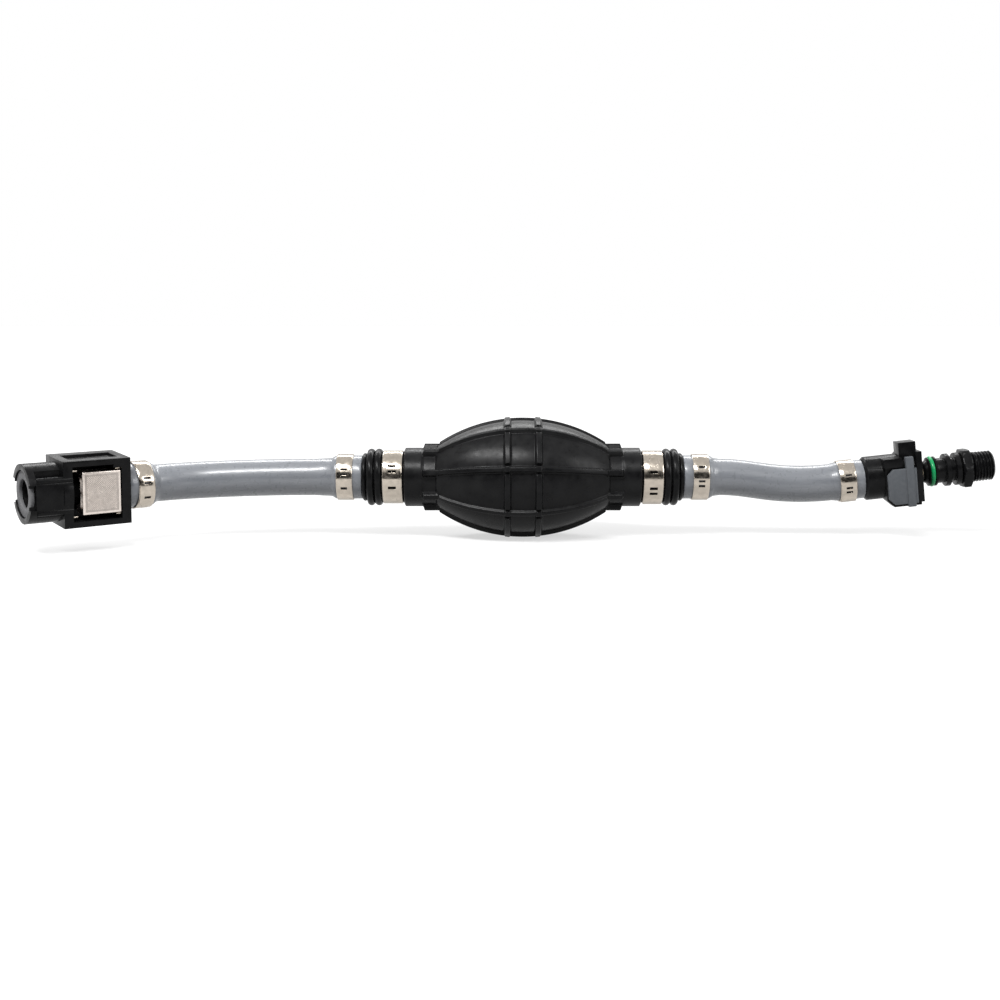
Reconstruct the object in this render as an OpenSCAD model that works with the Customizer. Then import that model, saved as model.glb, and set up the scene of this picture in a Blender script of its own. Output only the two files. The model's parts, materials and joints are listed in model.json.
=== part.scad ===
// Hand-squeezed fuel priming line: a ribbed rubber bulb with a one-way valve in
// each end, two short hoses held by band clamps, a box-shaped socket connector
// on the inlet end, a latched coupling on the outlet end and the threaded plug
// that fits it.  Everything hangs on one chain of frames that starts at the
// middle of the bulb, so a longer hose or bulb carries its connector with it.

/* [Bulb] */
// Length of the swelling part of the bulb
bulb_len = 78; // [72:1:88]
// Radius of the bulb at its middle, ribs left out
bulb_r = 26; // [24:0.5:28]
// Radius of the bulb where the swelling ends
bulb_end_r = 14; // [13.8:0.1:14.6]
// Wall of the bulb at its middle
bulb_wall = 3.2; // [2.6:0.1:4]
// Number of ribs that run along the bulb
rib_count = 8; // [6:2:10]
// Width of a rib
rib_w = 2; // [1.6:0.1:2.6]
// Height of a rib above the bulb
rib_h = 1.6; // [1.2:0.1:2]
// Turn of the ribs about the bulb's axis
rib_turn = 30.7; // [0:0.1:44.9]
// Distance between the two ring ribs
ring_gap = 14; // [12:0.5:18]
// Width of a ring rib
ring_w = 3; // [2.4:0.1:3.6]
// Length of the notched collar at each end of the bulb
collar_len = 6; // [5:0.5:7]
// Outer radius of the smooth neck
neck_r = 13.5; // [13.2:0.1:14]
// Length of the smooth neck
neck_len = 9.4; // [8:0.2:11]
// Length of the thinner neck that the clamp grips
grip_len = 9.6; // [9.2:0.1:10.5]
// Radius of the neck under its clamp
grip_r = 11.6; // [11.4:0.1:12]

/* [Valve fittings] */
// Radius of the fitting inside the neck
spigot_r = 9.4; // [9:0.1:9.8]
// Radius of the two beads outside the neck
bead_r = 13.1; // [12.4:0.1:13.6]
// Length of the two beads together
bead_len = 6.9; // [6:0.1:8]
// Radius of the small ring beside the hose
stop_r = 11; // [10.6:0.1:11.4]
// Length of the small ring
stop_len = 2.3; // [1.8:0.1:3]
// Radius of the valve chamber
chamber_r = 7; // [6.6:0.1:7.2]
// Radius of the fuel passage
passage_r = 3.6; // [3.2:0.1:3.8]
// How far a check valve lifts
valve_lift = 2; // [1.2:0.1:2.4]

/* [Hoses] */
// Outer radius of the hose
hose_r = 8.4; // [8:0.1:8.8]
// Bore radius of the hose
hose_bore_r = 4.75; // [4.5:0.05:5]
// Outer radius of the hose where a barb widens it
sleeve_r = 10; // [9.7:0.1:10.2]
// Length of the widened end
sleeve_len = 12; // [11.8:0.1:13]
// Outer radius of the outlet hose at the coupling
sleeve_end_r = 8.9; // [8.85:0.05:9.2]
// Straight stretch of the inlet hose past its widened end
inlet_straight = 7.2; // [4:0.2:12]
// Radius of the inlet hose's long sweep
inlet_sweep_r = 220; // [180:5:260]
// Angle of the inlet hose's long sweep
inlet_sweep = 12.5; // [8:0.5:16]
// Bend radius of the inlet hose beside the connector
inlet_bend_r = 62; // [50:1:80]
// Bend angle of the inlet hose beside the connector
inlet_bend = 23; // [18:1:30]
// Radius of the outlet hose's dip
dip_r = 90; // [70:1:110]
// Angle of the outlet hose's dip
dip_angle = 8; // [4:0.5:10]
// Straight stretch of the outlet hose below the dip
outlet_straight = 8; // [4:0.5:12]
// Bend radius of the outlet hose up to the coupling
outlet_bend_r = 120; // [95:1:150]
// Bend angle of the outlet hose up to the coupling
outlet_bend = 14.5; // [10:0.5:20]

/* [Band clamps] */
// Width of a neck clamp
neck_band_w = 9; // [8:0.1:9.2]
// Width of a hose clamp
hose_band_w = 7.4; // [6.6:0.1:7.6]
// Thickness of the clamp band
band_t = 0.6; // [0.5:0.05:0.7]

/* [Inlet connector] */
// Length of the connector's box
box_len = 29.5; // [28.5:0.5:33]
// Height of the box
box_h = 29; // [28:0.5:32]
// Depth of the box
box_d = 23; // [23:0.5:26]
// Thickness of the two end plates
plate_t = 4; // [3.5:0.1:4.4]
// Radius of the barrel
barrel_r = 13; // [12.8:0.1:13.8]
// Length of the barrel
barrel_len = 14.2; // [12:0.2:16]
// Radius of the socket
socket_r = 5.6; // [5.3:0.1:5.9]
// Depth of the socket below the seal
socket_len = 9; // [8:0.5:10]
// Outer radius of the face seal
seal_r = 10.3; // [9.8:0.1:10.6]
// Thickness of the face seal
seal_t = 1.6; // [1.2:0.2:2.4]
// Width of the metal release button
button_w = 17; // [15:0.5:18]
// Height of the metal release button
button_h = 18.6; // [17.6:0.2:19.6]
// Depth of the metal release button
button_d = 8.7; // [8:0.1:9.2]
// How far the button is pressed
button_travel = 2; // [1:0.1:2.2]

/* [Outlet coupling] */
// Length of the coupling body
coupling_len = 24.5; // [24:0.5:28]
// Radius of the coupling body
coupling_r = 10; // [9.8:0.1:10.4]
// Radius of the coupling's collar
collar_r = 11; // [10.8:0.1:11.4]
// Length of the collar
collar_w = 9; // [8.6:0.1:10]
// Height of the thumb latch's plate
thumb_h = 16; // [14:0.5:18]
// Length of the thumb latch's plate along the coupling
thumb_w = 13; // [12:0.5:14]
// How far the latch springs out
latch_travel = 1.3; // [1:0.1:1.4]

/* [Plug] */
// Radius of the plug's barrel
plug_r = 5.7; // [5.5:0.1:5.8]
// Radius of the plug's flanges
flange_r = 7.5; // [7.3:0.1:7.6]
// Outer radius of the plug's O-ring
oring_out_r = 7; // [6.9:0.05:7.05]
// Size of the plug's hexagon across its flats
hex_flats = 16.7; // [15.5:0.1:17.5]
// Radius of the threaded end
thread_r = 6.85; // [6.6:0.05:7]
// Length of the threaded end
thread_len = 9.3; // [8:0.1:11]
// Gap between the coupling and the plug as laid out
plug_gap = 2.8; // [1:0.1:6]

/* [Hidden] */

$fn = 72;
fit = 0.1;           // clearance between pieces of one body
slide_fit = 0.3;     // clearance round a piece that moves
guide_fit = 0.06;    // running fit of a stem in its guide
overrun = 1;         // how far a cut runs past a face
arc_steps = 14;      // flats along half of the bulb's outline

// --- bulb stations along its axis, from the middle outwards ---
half = bulb_len / 2;
collar_end = half + collar_len;
neck_end = collar_end + neck_len;
grip_end = neck_end + grip_len;
bead_end = grip_end + fit + bead_len;
hose_start = bead_end + stop_len;

// Radius and centre of the arc that the bulb's outline follows.
sag = bulb_r - bulb_end_r;
arc_r = (half * half + sag * sag) / (2 * sag);
function arc_y(x, lift = 0) = sqrt(pow(arc_r + lift, 2) - x * x) - (arc_r - bulb_r);
ring_out_r = arc_y(ring_gap / 2, rib_h) + 0.3;
pad_r = bulb_end_r + rib_h - 0.3;
recess_r = bulb_end_r - 1;

// --- valve stations ---
valve_in = collar_end + 1;                  // inner end of the fitting
seat_x = grip_end - 4;                      // floor of the inlet chamber
poppet_r = passage_r + 1.7;
poppet_t = 2;
stem_r = 1.4;
retainer_t = 2;
seat_t = 4;
valve_wire = 0.35;
valve_turns = 4;
barb_len = 14;
function barb_in(sleeve) = sleeve - (hose_r - hose_bore_r) - fit;
barb_r = barb_in(sleeve_r);
end_barb_r = barb_in(sleeve_end_r);
barb_depth = 0.6;
barb_root_r = barb_r - barb_depth;

// --- hose runs: [straight, roll, bend radius, bend angle] ---
cone_len = 3;
lead = sleeve_len + cone_len;
inlet_runs = [[lead + inlet_straight, -5.6, inlet_sweep_r, inlet_sweep],
              [0, 1.6, inlet_bend_r, inlet_bend], [lead, 0, 0, 0]];
outlet_runs = [[lead + 2, -90, dip_r, dip_angle],
               [outlet_straight, 96, outlet_bend_r, outlet_bend], [lead, 0, 0, 0]];
band_at = 4.1;       // from a hose's end to its clamp
hose_steps = 6;      // rings along each bend
hose_sides = 32;

// --- frames: a frame is [rotation, place] ---
function rx(a) = [[1, 0, 0], [0, cos(a), -sin(a)], [0, sin(a), cos(a)]];
function rz(a) = [[cos(a), -sin(a), 0], [sin(a), cos(a), 0], [0, 0, 1]];
function moved(f, v) = [f[0], f[1] + f[0] * v];
function turned(f, m) = [f[0] * m, f[1]];
function after(f, run) =
    let (a = turned(moved(f, [run[0], 0, 0]), rx(run[1])),
         b = turned(moved(a, [0, run[2], 0]), rz(run[3])))
    turned(moved(b, [0, -run[2], 0]), rx(-run[1]));
function run_end(f, runs, n) = n == 0 ? f : after(run_end(f, runs, n - 1), runs[n - 1]);

inlet_start = [rz(180), [-hose_start, 0, 0]];
outlet_start = [rz(0), [hose_start, 0, 0]];
connector_at = run_end(inlet_start, inlet_runs, len(inlet_runs));
connector_roll = -4;
connector_frame = turned(moved(connector_at, [fit, 0, 0]), rx(connector_roll));
coupling_at = run_end(outlet_start, outlet_runs, len(outlet_runs));
coupling_frame = moved(coupling_at, [fit, 0, 0]);
plug_frame = moved(coupling_frame, [coupling_len + plug_gap, 0, 0]);

// --- inlet connector stations, from the hose outwards ---
box_back = -box_d / 2;
box_front = box_d / 2;
connector_len = box_len + barrel_len;
plate_in = box_len - plate_t;
beam_t = 2.5;
core_r = 5.9;
inner_r = 4.4;                              // bore of the valve chamber
inner_from = 7;
seal_sink = 0.7;                            // the barrel's lip stands past the seal
seal_from = connector_len - seal_sink - seal_t;
inner_to = seal_from - socket_len;
button_x = plate_t + slide_fit;
button_t = 0.8;
button_front = box_front - 0.3;
recess_y = button_front - button_d - button_travel - slide_fit;
spring_z = core_r + 1.4;
spring_pit = 2.5;
pad_front = box_front + 0.6;
pad_h = 10.8;
rail_r = 1.5;
rail_z = pad_h / 2 + rail_r - 0.2;
pad_back = 9.6;
channel_z = 7.3;
lip_w = 3;

// --- outlet coupling stations ---
socket_mouth_r = flange_r + 0.2;
bore_r = oring_out_r + 0.1;
latch_x = coupling_len - 6.7;               // near face of the latch ring
latch_t = 1.6;
latch_hole_r = oring_out_r + 0.25;
latch_half_h = 9;
thumb_out = coupling_r + 3.7;               // front of the thumb plate
thumb_to = latch_x + 3.8;
thumb_from = thumb_to - thumb_w;
thumb_drop = 3.6;                           // the plate's middle hangs below the axis
thumb_top = thumb_h / 2 - thumb_drop;
thumb_low = -thumb_h / 2 - thumb_drop;
guard_out = coupling_r + 1.4;
guard_low = thumb_low - 1.3;
rim_end = 5.9;                              // plug's rim, which the latch drops behind
flange_from = 9.6;
plug_seat = latch_x + latch_t / 2 - (rim_end + flange_from) / 2;   // tip's last place
mouth_to = plug_seat + flange_from - 0.3;
lip_r = 2.6;
lip_t = 1;
stem_bore_r = 3.9;
stem_bore_from = -10.5;

// --- plug stations, from its tip ---
groove_from = flange_from + 2.4;
groove_to = groove_from + 2.4;
groove_r = plug_r - 0.3;
flange_t = 2.2;
hex_from = groove_to + flange_t + 0.6;
hex_t = 4.2;
plug_thread = hex_from + hex_t + 1;
plug_len = plug_thread + thread_len;

// --- extent of the whole, which sets the origin ---
left_tip = moved(connector_frame, [connector_len, 0, 0])[1];
left_dir = connector_frame[0] * [1, 0, 0];
right_tip = moved(plug_frame, [plug_len - 1.2, 0, 0])[1];
right_dir = plug_frame[0] * [1, 0, 0];
x_low = left_tip[0] - barrel_r * sqrt(1 - pow(left_dir[0], 2));
x_high = right_tip[0] + max(thread_r * sqrt(1 - pow(right_dir[0], 2)),
                            1.2 * right_dir[0] + (thread_r - 1) * sqrt(1 - pow(right_dir[0], 2)));
y_low = left_tip[1] - barrel_r * sqrt(1 - pow(left_dir[1], 2));
y_high = ring_out_r;
home = [-(x_low + x_high) / 2, -(y_low + y_high) / 2, ring_out_r];

black = [0.11, 0.11, 0.12];
rubber = [0.16, 0.16, 0.17];
smoke = [0.62, 0.64, 0.68];
steel = [0.82, 0.8, 0.78];
dark_steel = [0.5, 0.5, 0.5];

// Puts its children in a frame.
module place(f)
    multmatrix([[f[0][0][0], f[0][0][1], f[0][0][2], f[1][0]],
                [f[0][1][0], f[0][1][1], f[0][1][2], f[1][1]],
                [f[0][2][0], f[0][2][1], f[0][2][2], f[1][2]],
                [0, 0, 0, 1]]) children();

// Revolves a profile of [radius, station] points about the X axis.
module spin(profile) rotate([0, 90, 0]) rotate_extrude() polygon(profile);

// A round bar or hole along X, from one station to another.
module rod(from, to, r) translate([from, 0, 0]) rotate([0, 90, 0]) cylinder(h = to - from, r = r);

// A washer along X.
module tube(from, to, r, bore)
    difference() {
        rod(from, to, r);
        rod(from - overrun, to + overrun, bore);
    }

// A box given by its two corners.
module block(low, high) translate(low) cube(high - low);

// A compression spring along X.  Eight rings of six points make one curl.
curl_rings = 8;
curl_sides = 6;
function coil_point(r, wire, pitch, i, s) =
    let (t = 360 * i / curl_rings, q = 360 * s / curl_sides, w = r + wire * cos(q))
    [pitch * i / curl_rings + wire * sin(q), w * cos(t), w * sin(t)];
function coil_gap(r, wire, pitch) =
    min([for (s = [0:curl_sides - 1], k = [0:curl_sides - 1],
              i = [curl_rings - 1:curl_rings + 1])
         norm(coil_point(r, wire, pitch, 0, s) - coil_point(r, wire, pitch, i, k))]);
module coil(from, to, r, wire, turns) {
    pitch = (to - from - 2 * wire) / turns;
    rings = turns * curl_rings;
    echo(str("least gap of a coil ", coil_gap(r, wire, pitch), " mm"));
    translate([from + wire, 0, 0])
        polyhedron(
            points = [for (i = [0:rings], s = [0:curl_sides - 1])
                      coil_point(r, wire, pitch, i, s)],
            faces = concat(
                [for (i = [0:rings - 1], s = [0:curl_sides - 1])
                    let (n = (s + 1) % curl_sides, a = i * curl_sides)
                    [a + s, a + n, a + curl_sides + s]],
                [for (i = [0:rings - 1], s = [0:curl_sides - 1])
                    let (n = (s + 1) % curl_sides, a = i * curl_sides)
                    [a + n, a + curl_sides + n, a + curl_sides + s]],
                [for (s = [1:curl_sides - 2]) [0, s + 1, s]],
                [for (s = [1:curl_sides - 2]) let (a = rings * curl_sides)
                    [a, a + s, a + s + 1]]));
}

// ---------------------------------------------------------------- bulb

// Outline of one half of the bulb: the swelling, the recess and the neck.
function half_outline(lift) =
    [for (i = [0:arc_steps]) let (x = half * i / arc_steps) [arc_y(x, lift), x]];

function mirrored(p) = [for (i = [len(p) - 1:-1:1]) [p[i][0], -p[i][1]]];

module bulb_skin() {
    right = concat(half_outline(0), [
        [recess_r, half], [recess_r, collar_end - 0.2], [neck_r - 0.5, collar_end],
        [neck_r, collar_end + 0.6], [neck_r, neck_end - 0.8], [neck_r - 0.6, neck_end - 0.2],
        [grip_r, neck_end], [grip_r, grip_end], [0, grip_end]]);
    spin(concat([[0, -grip_end]], [for (p = mirrored(right)) if (p[0] > 0) p], right));
}

// Hollow of the bulb: follows its outline and leaves a thicker wall at the ends.
module bulb_hollow() {
    inner_end = half - 3;
    right = concat(
        [for (i = [0:arc_steps]) let (x = inner_end * i / arc_steps)
            [arc_y(x, 0) - bulb_wall, x]],
        [[spigot_r - 1.2, half + 2], [spigot_r - 1.2, valve_in - 1], [spigot_r + fit, valve_in - 1],
         [spigot_r + fit, grip_end + overrun], [0, grip_end + overrun]]);
    spin(concat([[0, -grip_end - overrun]], [for (p = mirrored(right)) if (p[0] > 0) p], right));
}

module rib_slabs(w, from, to)
    for (i = [0:rib_count - 1])
        rotate([rib_turn + i * 360 / rib_count, 0, 0]) translate([from, -bulb_r - 5, -w / 2])
            cube([to - from, bulb_r - 2, w]);

module long_ribs() {
    pad_end = collar_end - 0.4;
    right = concat(half_outline(rib_h),
        [[pad_r, half + 0.4], [pad_r, pad_end - 0.5], [pad_r - 0.5, pad_end], [recess_r - 1, pad_end]]);
    under = concat([for (i = [arc_steps:-1:0]) let (x = half * i / arc_steps)
                    [arc_y(x, 0) - 1.5, x]]);
    intersection() {
        spin(concat([for (p = mirrored(concat(right))) p], right, under,
                    [for (i = [1:len(under) - 1]) let (p = under[len(under) - 1 - i]) [p[0], -p[1]]],
                    [[recess_r - 1, -pad_end]]));
        union() {
            rib_slabs(rib_w, -half, half);
            for (s = [-1, 1]) rib_slabs(rib_w + 0.8, s > 0 ? half - 1 : -collar_end,
                                        s > 0 ? collar_end : -half + 1);
        }
    }
}

module ring_ribs()
    difference() {
        for (s = [-1, 1]) translate([s * ring_gap / 2, 0, 0])
            spin([[bulb_r - 2, -ring_w / 2], [ring_out_r - 1.1, -ring_w / 2],
                  [ring_out_r - 0.3, -ring_w / 2 + 0.4], [ring_out_r, -ring_w / 2 + 1],
                  [ring_out_r, ring_w / 2 - 1], [ring_out_r - 0.3, ring_w / 2 - 0.4],
                  [ring_out_r - 1.1, ring_w / 2], [bulb_r - 2, ring_w / 2]]);
        difference() {
            rib_slabs(rib_w + 1.4, -ring_gap, ring_gap);
            rod(-ring_gap - overrun, ring_gap + overrun, bulb_r + 0.5);
        }
    }

module bulb()
    color(rubber) difference() {
        union() {
            bulb_skin();
            long_ribs();
            ring_ribs();
        }
        bulb_hollow();
    }

// ---------------------------------------------------------------- clamps

// One-piece band clamp round the X axis.  The lapped outer end carries the
// punched slots and the tongue; the pinched ear is on the far side.
module band_clamp(r, w) {
    ear_w = 3;
    ear_h = 2.6;
    lap_from = -64;
    lap_angle = 128;
    slot_w = w * 0.42;
    slot_h = 1.1;
    outer = r + band_t;
    difference() {
        union() {
            tube(0, w, outer, r);
            rotate([0, 90, 0]) rotate([0, 0, lap_from - 90])
                rotate_extrude(angle = lap_angle) translate([outer - 0.1, 0.3])
                    square([band_t, w - 0.6]);
            // pinched ear
            translate([w * 0.15, 0, 0]) rotate([90, 0, 90]) linear_extrude(w * 0.7)
                difference() {
                    translate([outer - 0.3, -ear_w / 2]) square([ear_h, ear_w]);
                    translate([outer - 0.5, -ear_w / 2 + band_t])
                        square([ear_h - band_t, ear_w - 2 * band_t]);
                }
        }
        for (a = [-26, -8, 10]) rotate([a, 0, 0])
            translate([(w - slot_w) / 2, -outer - band_t - overrun, -slot_h / 2])
                cube([slot_w, 0.4 + overrun + band_t / 2, slot_h]);
    }
}

module neck_clamp(s)
    color(steel) rotate([0, 0, 180 * s]) rotate([180 * s, 0, 0])
        translate([neck_end + (grip_len - neck_band_w) / 2, 0, 0])
            band_clamp(grip_r + fit / 2, neck_band_w);
module neck_clamp_inlet() neck_clamp(1);
module neck_clamp_outlet() neck_clamp(0);

module hose_clamp(f, at, turn, sleeve = sleeve_r)
    color(steel) place(moved(f, [at, 0, 0])) rotate([turn, 0, 0])
        band_clamp(sleeve + fit / 2, hose_band_w);
module clamp_inlet_bulb() hose_clamp(inlet_start, band_at, 180);
module clamp_inlet_end() hose_clamp(connector_at, -band_at - hose_band_w, 180);
module clamp_outlet_bulb() hose_clamp(outlet_start, band_at, 0);
module clamp_outlet_end()
    hose_clamp(coupling_at, -band_at - hose_band_w, 0, sleeve_end_r);

// ---------------------------------------------------------------- valves

function bead(x0, x1, base, top) =
    [for (i = [0:6]) let (a = 180 * i / 6)
        [base + (top - base) * sin(a), (x0 + x1) / 2 - (x1 - x0) / 2 * cos(a)]];

// Barbs point away from the hose's end; the first stands at station x0.
function barbs(x0, length, r = barb_r) =
    let (n = 3, step = length / n)
    [for (i = [0:n - 1]) for (p = [[r, x0 + i * step + 0.6], [r, x0 + i * step + 1.4],
                                  [r - barb_depth, x0 + (i + 1) * step - 0.2]]) p];

module fitting_shell()
    spin(concat(
        [[0, valve_in], [spigot_r - 0.6, valve_in], [spigot_r, valve_in + 0.8],
         [spigot_r, grip_end + fit]],
        bead(grip_end + fit, grip_end + fit + bead_len / 2, bead_r - 1.6, bead_r),
        bead(grip_end + fit + bead_len / 2, bead_end, bead_r - 1.6, bead_r),
        bead(bead_end + 0.01, hose_start - fit, stop_r - 1, stop_r),
        [[barb_root_r, hose_start - fit]],
        barbs(hose_start, barb_len),
        [[passage_r + 0.6, hose_start + barb_len], [0, hose_start + barb_len]]));

module inlet_valve_body()
    color(black) rotate([0, 0, 180]) difference() {
        fitting_shell();
        rod(valve_in - overrun, seat_x, chamber_r);
        rod(seat_x - overrun, hose_start + barb_len + overrun, passage_r);
    }

module inlet_poppet()
    color(dark_steel) rotate([0, 0, 180]) union() {
        rod(seat_x - slide_fit - poppet_t, seat_x - slide_fit, poppet_r);
        rod(valve_in + 0.4 + valve_lift, seat_x - slide_fit - poppet_t + 0.1, stem_r);
    }

inlet_retainer_from = valve_in + 1;
module inlet_retainer()
    color(black) rotate([0, 0, 180]) difference() {
        rod(inlet_retainer_from, inlet_retainer_from + retainer_t, chamber_r - fit);
        rod(0, seat_x, stem_r + guide_fit);
        for (i = [0:3]) rotate([90 * i, 0, 0]) translate([0, 4.3, 0])
            rod(0, seat_x, 1.5);
    }

module inlet_spring()
    color(dark_steel) rotate([0, 0, 180])
        coil(inlet_retainer_from + retainer_t + fit, seat_x - slide_fit - poppet_t - fit,
             poppet_r - 1.2, valve_wire, valve_turns);

out_seat_from = valve_in + 0.6;
out_floor = grip_end;
module outlet_valve_body()
    color(black) difference() {
        fitting_shell();
        rod(valve_in - overrun, out_floor, chamber_r);
        rod(out_floor - overrun, hose_start + barb_len + overrun, passage_r);
    }

module outlet_seat()
    color(dark_steel) tube(out_seat_from, out_seat_from + seat_t, chamber_r - fit, passage_r);

out_disc_from = out_seat_from + seat_t + slide_fit;
module outlet_poppet()
    color(dark_steel) union() {
        rod(out_disc_from, out_disc_from + poppet_t, poppet_r);
        rod(out_disc_from + poppet_t - 0.1, out_floor + 1, stem_r);
    }

module outlet_spring()
    color(dark_steel) coil(out_disc_from + poppet_t + fit, out_floor - fit,
                           poppet_r - 1.2, valve_wire, valve_turns);

// ---------------------------------------------------------------- hoses

// A widened end, as [distance from the end, outer radius, bore radius].
function hose_end(sleeve) =
    let (wide = barb_in(sleeve) + fit, grip_to = barb_len + 0.2)
    [[0, sleeve, wide], [sleeve_len, sleeve, wide],
     [grip_to, sleeve - (sleeve - hose_r) * (grip_to - sleeve_len) / cone_len, wide]];

// Rings of a hose along its runs: [frame, outer radius, bore radius].
function hose_rings(start, runs, end_sleeve) =
    let (last = len(runs) - 1,
         finish = run_end(start, runs, last + 1),
         near = hose_end(sleeve_r),
         far = hose_end(end_sleeve))
    concat(
        [for (e = near) [moved(start, [e[0], 0, 0]), e[1], e[2]]],
        [for (i = [0:last - 1], k = [runs[i][0] > 0 ? 0 : 1:hose_steps]) let (run = runs[i])
            [after(run_end(start, runs, i), [run[0], run[1], run[2], run[3] * k / hose_steps]),
             hose_r, hose_bore_r]],
        [for (i = [len(far) - 1:-1:0]) let (e = far[i])
            [moved(finish, [-e[0], 0, 0]), e[1], e[2]]]);

// One closed skin: the outside first, then the bore, then the two end faces.
module hose(start, runs, end_sleeve) {
    rings = hose_rings(start, runs, end_sleeve);
    n = len(rings);
    bore = n * hose_sides;
    color(smoke) polyhedron(
        points = [for (side = [1, 2], ring = rings, i = [0:hose_sides - 1])
                  let (q = 360 * i / hose_sides)
                  ring[0][1] + ring[0][0] * [0, ring[side] * cos(q), ring[side] * sin(q)]],
        faces = [for (i = [0:hose_sides - 1]) let (j = (i + 1) % hose_sides, z = (n - 1) * hose_sides)
                 for (face = concat(
                     [for (k = [0:n - 2]) let (a = k * hose_sides, b = a + hose_sides)
                      for (t = [[a + i, b + i, a + j], [a + j, b + i, b + j],
                                [bore + a + i, bore + a + j, bore + b + i],
                                [bore + a + j, bore + b + j, bore + b + i]]) t],
                     [[i, j, bore + i], [j, bore + j, bore + i],
                      [z + i, bore + z + i, z + j], [z + j, bore + z + i, bore + z + j]])) face]);
}
module inlet_hose() hose(inlet_start, inlet_runs, sleeve_r);
module outlet_hose() hose(outlet_start, outlet_runs, sleeve_end_r);

// ---------------------------------------------------------------- inlet connector
// In its frame X runs outwards from the hose, Y to the button side and Z up.

module barrel() {
    difference() {
        rod(plate_in, connector_len, barrel_r);
        for (s = [-1, 1]) {
            // deep channel above each side pad, which stops behind the lip, a
            // shallow one below it, and the notch in the lip beside the pad
            block([box_len, s > 0 ? core_r + 1 : -barrel_r - 1, channel_z],
                  [connector_len - lip_w, s > 0 ? barrel_r + 1 : -core_r - 1, channel_z + 3.4]);
            block([box_len, s > 0 ? core_r + 3.6 : -barrel_r - 1, -channel_z - 2],
                  [connector_len - lip_w, s > 0 ? barrel_r + 1 : -core_r - 3.6, -channel_z]);
            block([box_len, s > 0 ? pad_back : -barrel_r - 1, -pad_h / 2],
                  [connector_len + overrun, s > 0 ? barrel_r + 1 : -pad_back, pad_h / 2]);
        }
    }
    for (s = [-1, 1]) {
        block([plate_in, s > 0 ? pad_back - 0.6 : -pad_front, -pad_h / 2],
              [connector_len - 2.6, s > 0 ? pad_front : 0.6 - pad_back, pad_h / 2]);
        for (z = [-rail_z, rail_z])
            translate([0, s * (pad_front - rail_r - 0.2), z])
                rod(plate_in, connector_len - 3, rail_r);
    }
}

module box_shell() {
    half_h = box_h / 2;
    difference() {
        block([0, box_back, -half_h], [box_len, box_front, half_h]);
        // window on the button side, with a step at one end of each beam
        block([plate_t, recess_y, -half_h + beam_t],
              [plate_in, box_front + overrun, half_h - beam_t - 1.4]);
        block([plate_t + 3.6, recess_y, 0], [plate_in, box_front + overrun, half_h - beam_t]);
        // shallow channels in the top, the bottom and the back
        for (s = [-1, 1])
            block([plate_t, box_back + 6, s > 0 ? half_h - 1.2 : -half_h - overrun],
                  [plate_in, box_front - 5, s > 0 ? half_h + overrun : -half_h + 1.2]);
        block([plate_t, box_back - overrun, -half_h + beam_t + 1],
              [plate_in, box_back + 4.5, half_h - beam_t - 1]);
    }
    rod(0, box_len, core_r);
}

module connector_housing()
    color(black) place(connector_frame) difference() {
        union() {
            box_shell();
            barrel();
        }
        rod(seal_from - fit, connector_len + overrun, seal_r + fit);
        rod(inner_to, connector_len, socket_r);
        rod(inner_to - 1.4, inner_to + overrun, lip_r);
        rod(inner_from, inner_to - 1.4, inner_r);
        rod(-overrun, inner_from + overrun, barb_root_r - 1 + fit);
        // seats of the button's two springs
        for (z = [-1, 1]) translate([button_x + button_w / 2, 0, z * spring_z])
            rotate([90, 0, 0]) translate([0, 0, -recess_y - overrun])
                cylinder(h = spring_pit + overrun, r = 1.25);
    }

module connector_barb()
    color(steel) place(connector_frame) difference() {
        spin(concat(
            [[0, -barb_len]],
            [[passage_r + 0.6, -barb_len]],
            [for (i = [8:-1:0]) let (p = barbs(1.4, barb_len - 1.4)[i]) [p[0], -p[1]]],
            [[barb_root_r, -1.3], [barb_root_r - 1, -1.3], [barb_root_r - 1, inner_from - 0.2],
             [0, inner_from - 0.2]]));
        rod(-barb_len - overrun, inner_from + overrun, passage_r - 0.4);
    }

module face_seal()
    color(smoke) place(connector_frame)
        tube(seal_from, seal_from + seal_t, seal_r, socket_r + 0.8);

socket_poppet_to = inner_to - 1.4 - slide_fit;
module socket_poppet()
    color(dark_steel) place(connector_frame) union() {
        rod(socket_poppet_to - 3, socket_poppet_to, inner_r - slide_fit);
        rod(socket_poppet_to - 0.1, socket_poppet_to + 1.2, lip_r - slide_fit);
        rod(inner_from + 3, socket_poppet_to - 2.9, stem_r);
    }

module socket_spring()
    color(dark_steel) place(connector_frame)
        coil(inner_from + fit, socket_poppet_to - 3 - fit, inner_r - 1, valve_wire, 5);

// Folded sheet-metal cap that is pressed to release the connector.
module release_button()
    color(steel) place(connector_frame) difference() {
        block([button_x, button_front - button_d, -button_h / 2],
              [button_x + button_w, button_front, button_h / 2]);
        block([button_x + button_t, button_front - button_d - overrun, -button_h / 2 + button_t],
              [button_x + button_w - button_t, button_front - button_t, button_h / 2 - button_t]);
        // clears the core when pressed
        rod(button_x - overrun, button_x + button_w + overrun, core_r + slide_fit);
        translate([0, button_travel, 0])
            rod(button_x - overrun, button_x + button_w + overrun, core_r + slide_fit);
        block([button_x - overrun, button_front - button_d - overrun, -core_r - slide_fit],
              [button_x + button_w + overrun, button_travel, core_r + slide_fit]);
    }

module release_springs()
    color(dark_steel) place(connector_frame)
        for (z = [-1, 1]) translate([button_x + button_w / 2, 0, z * spring_z])
            rotate([0, 0, 90])
                coil(recess_y - spring_pit + fit, button_front - button_t - fit, 0.85, 0.22, 8);

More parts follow.
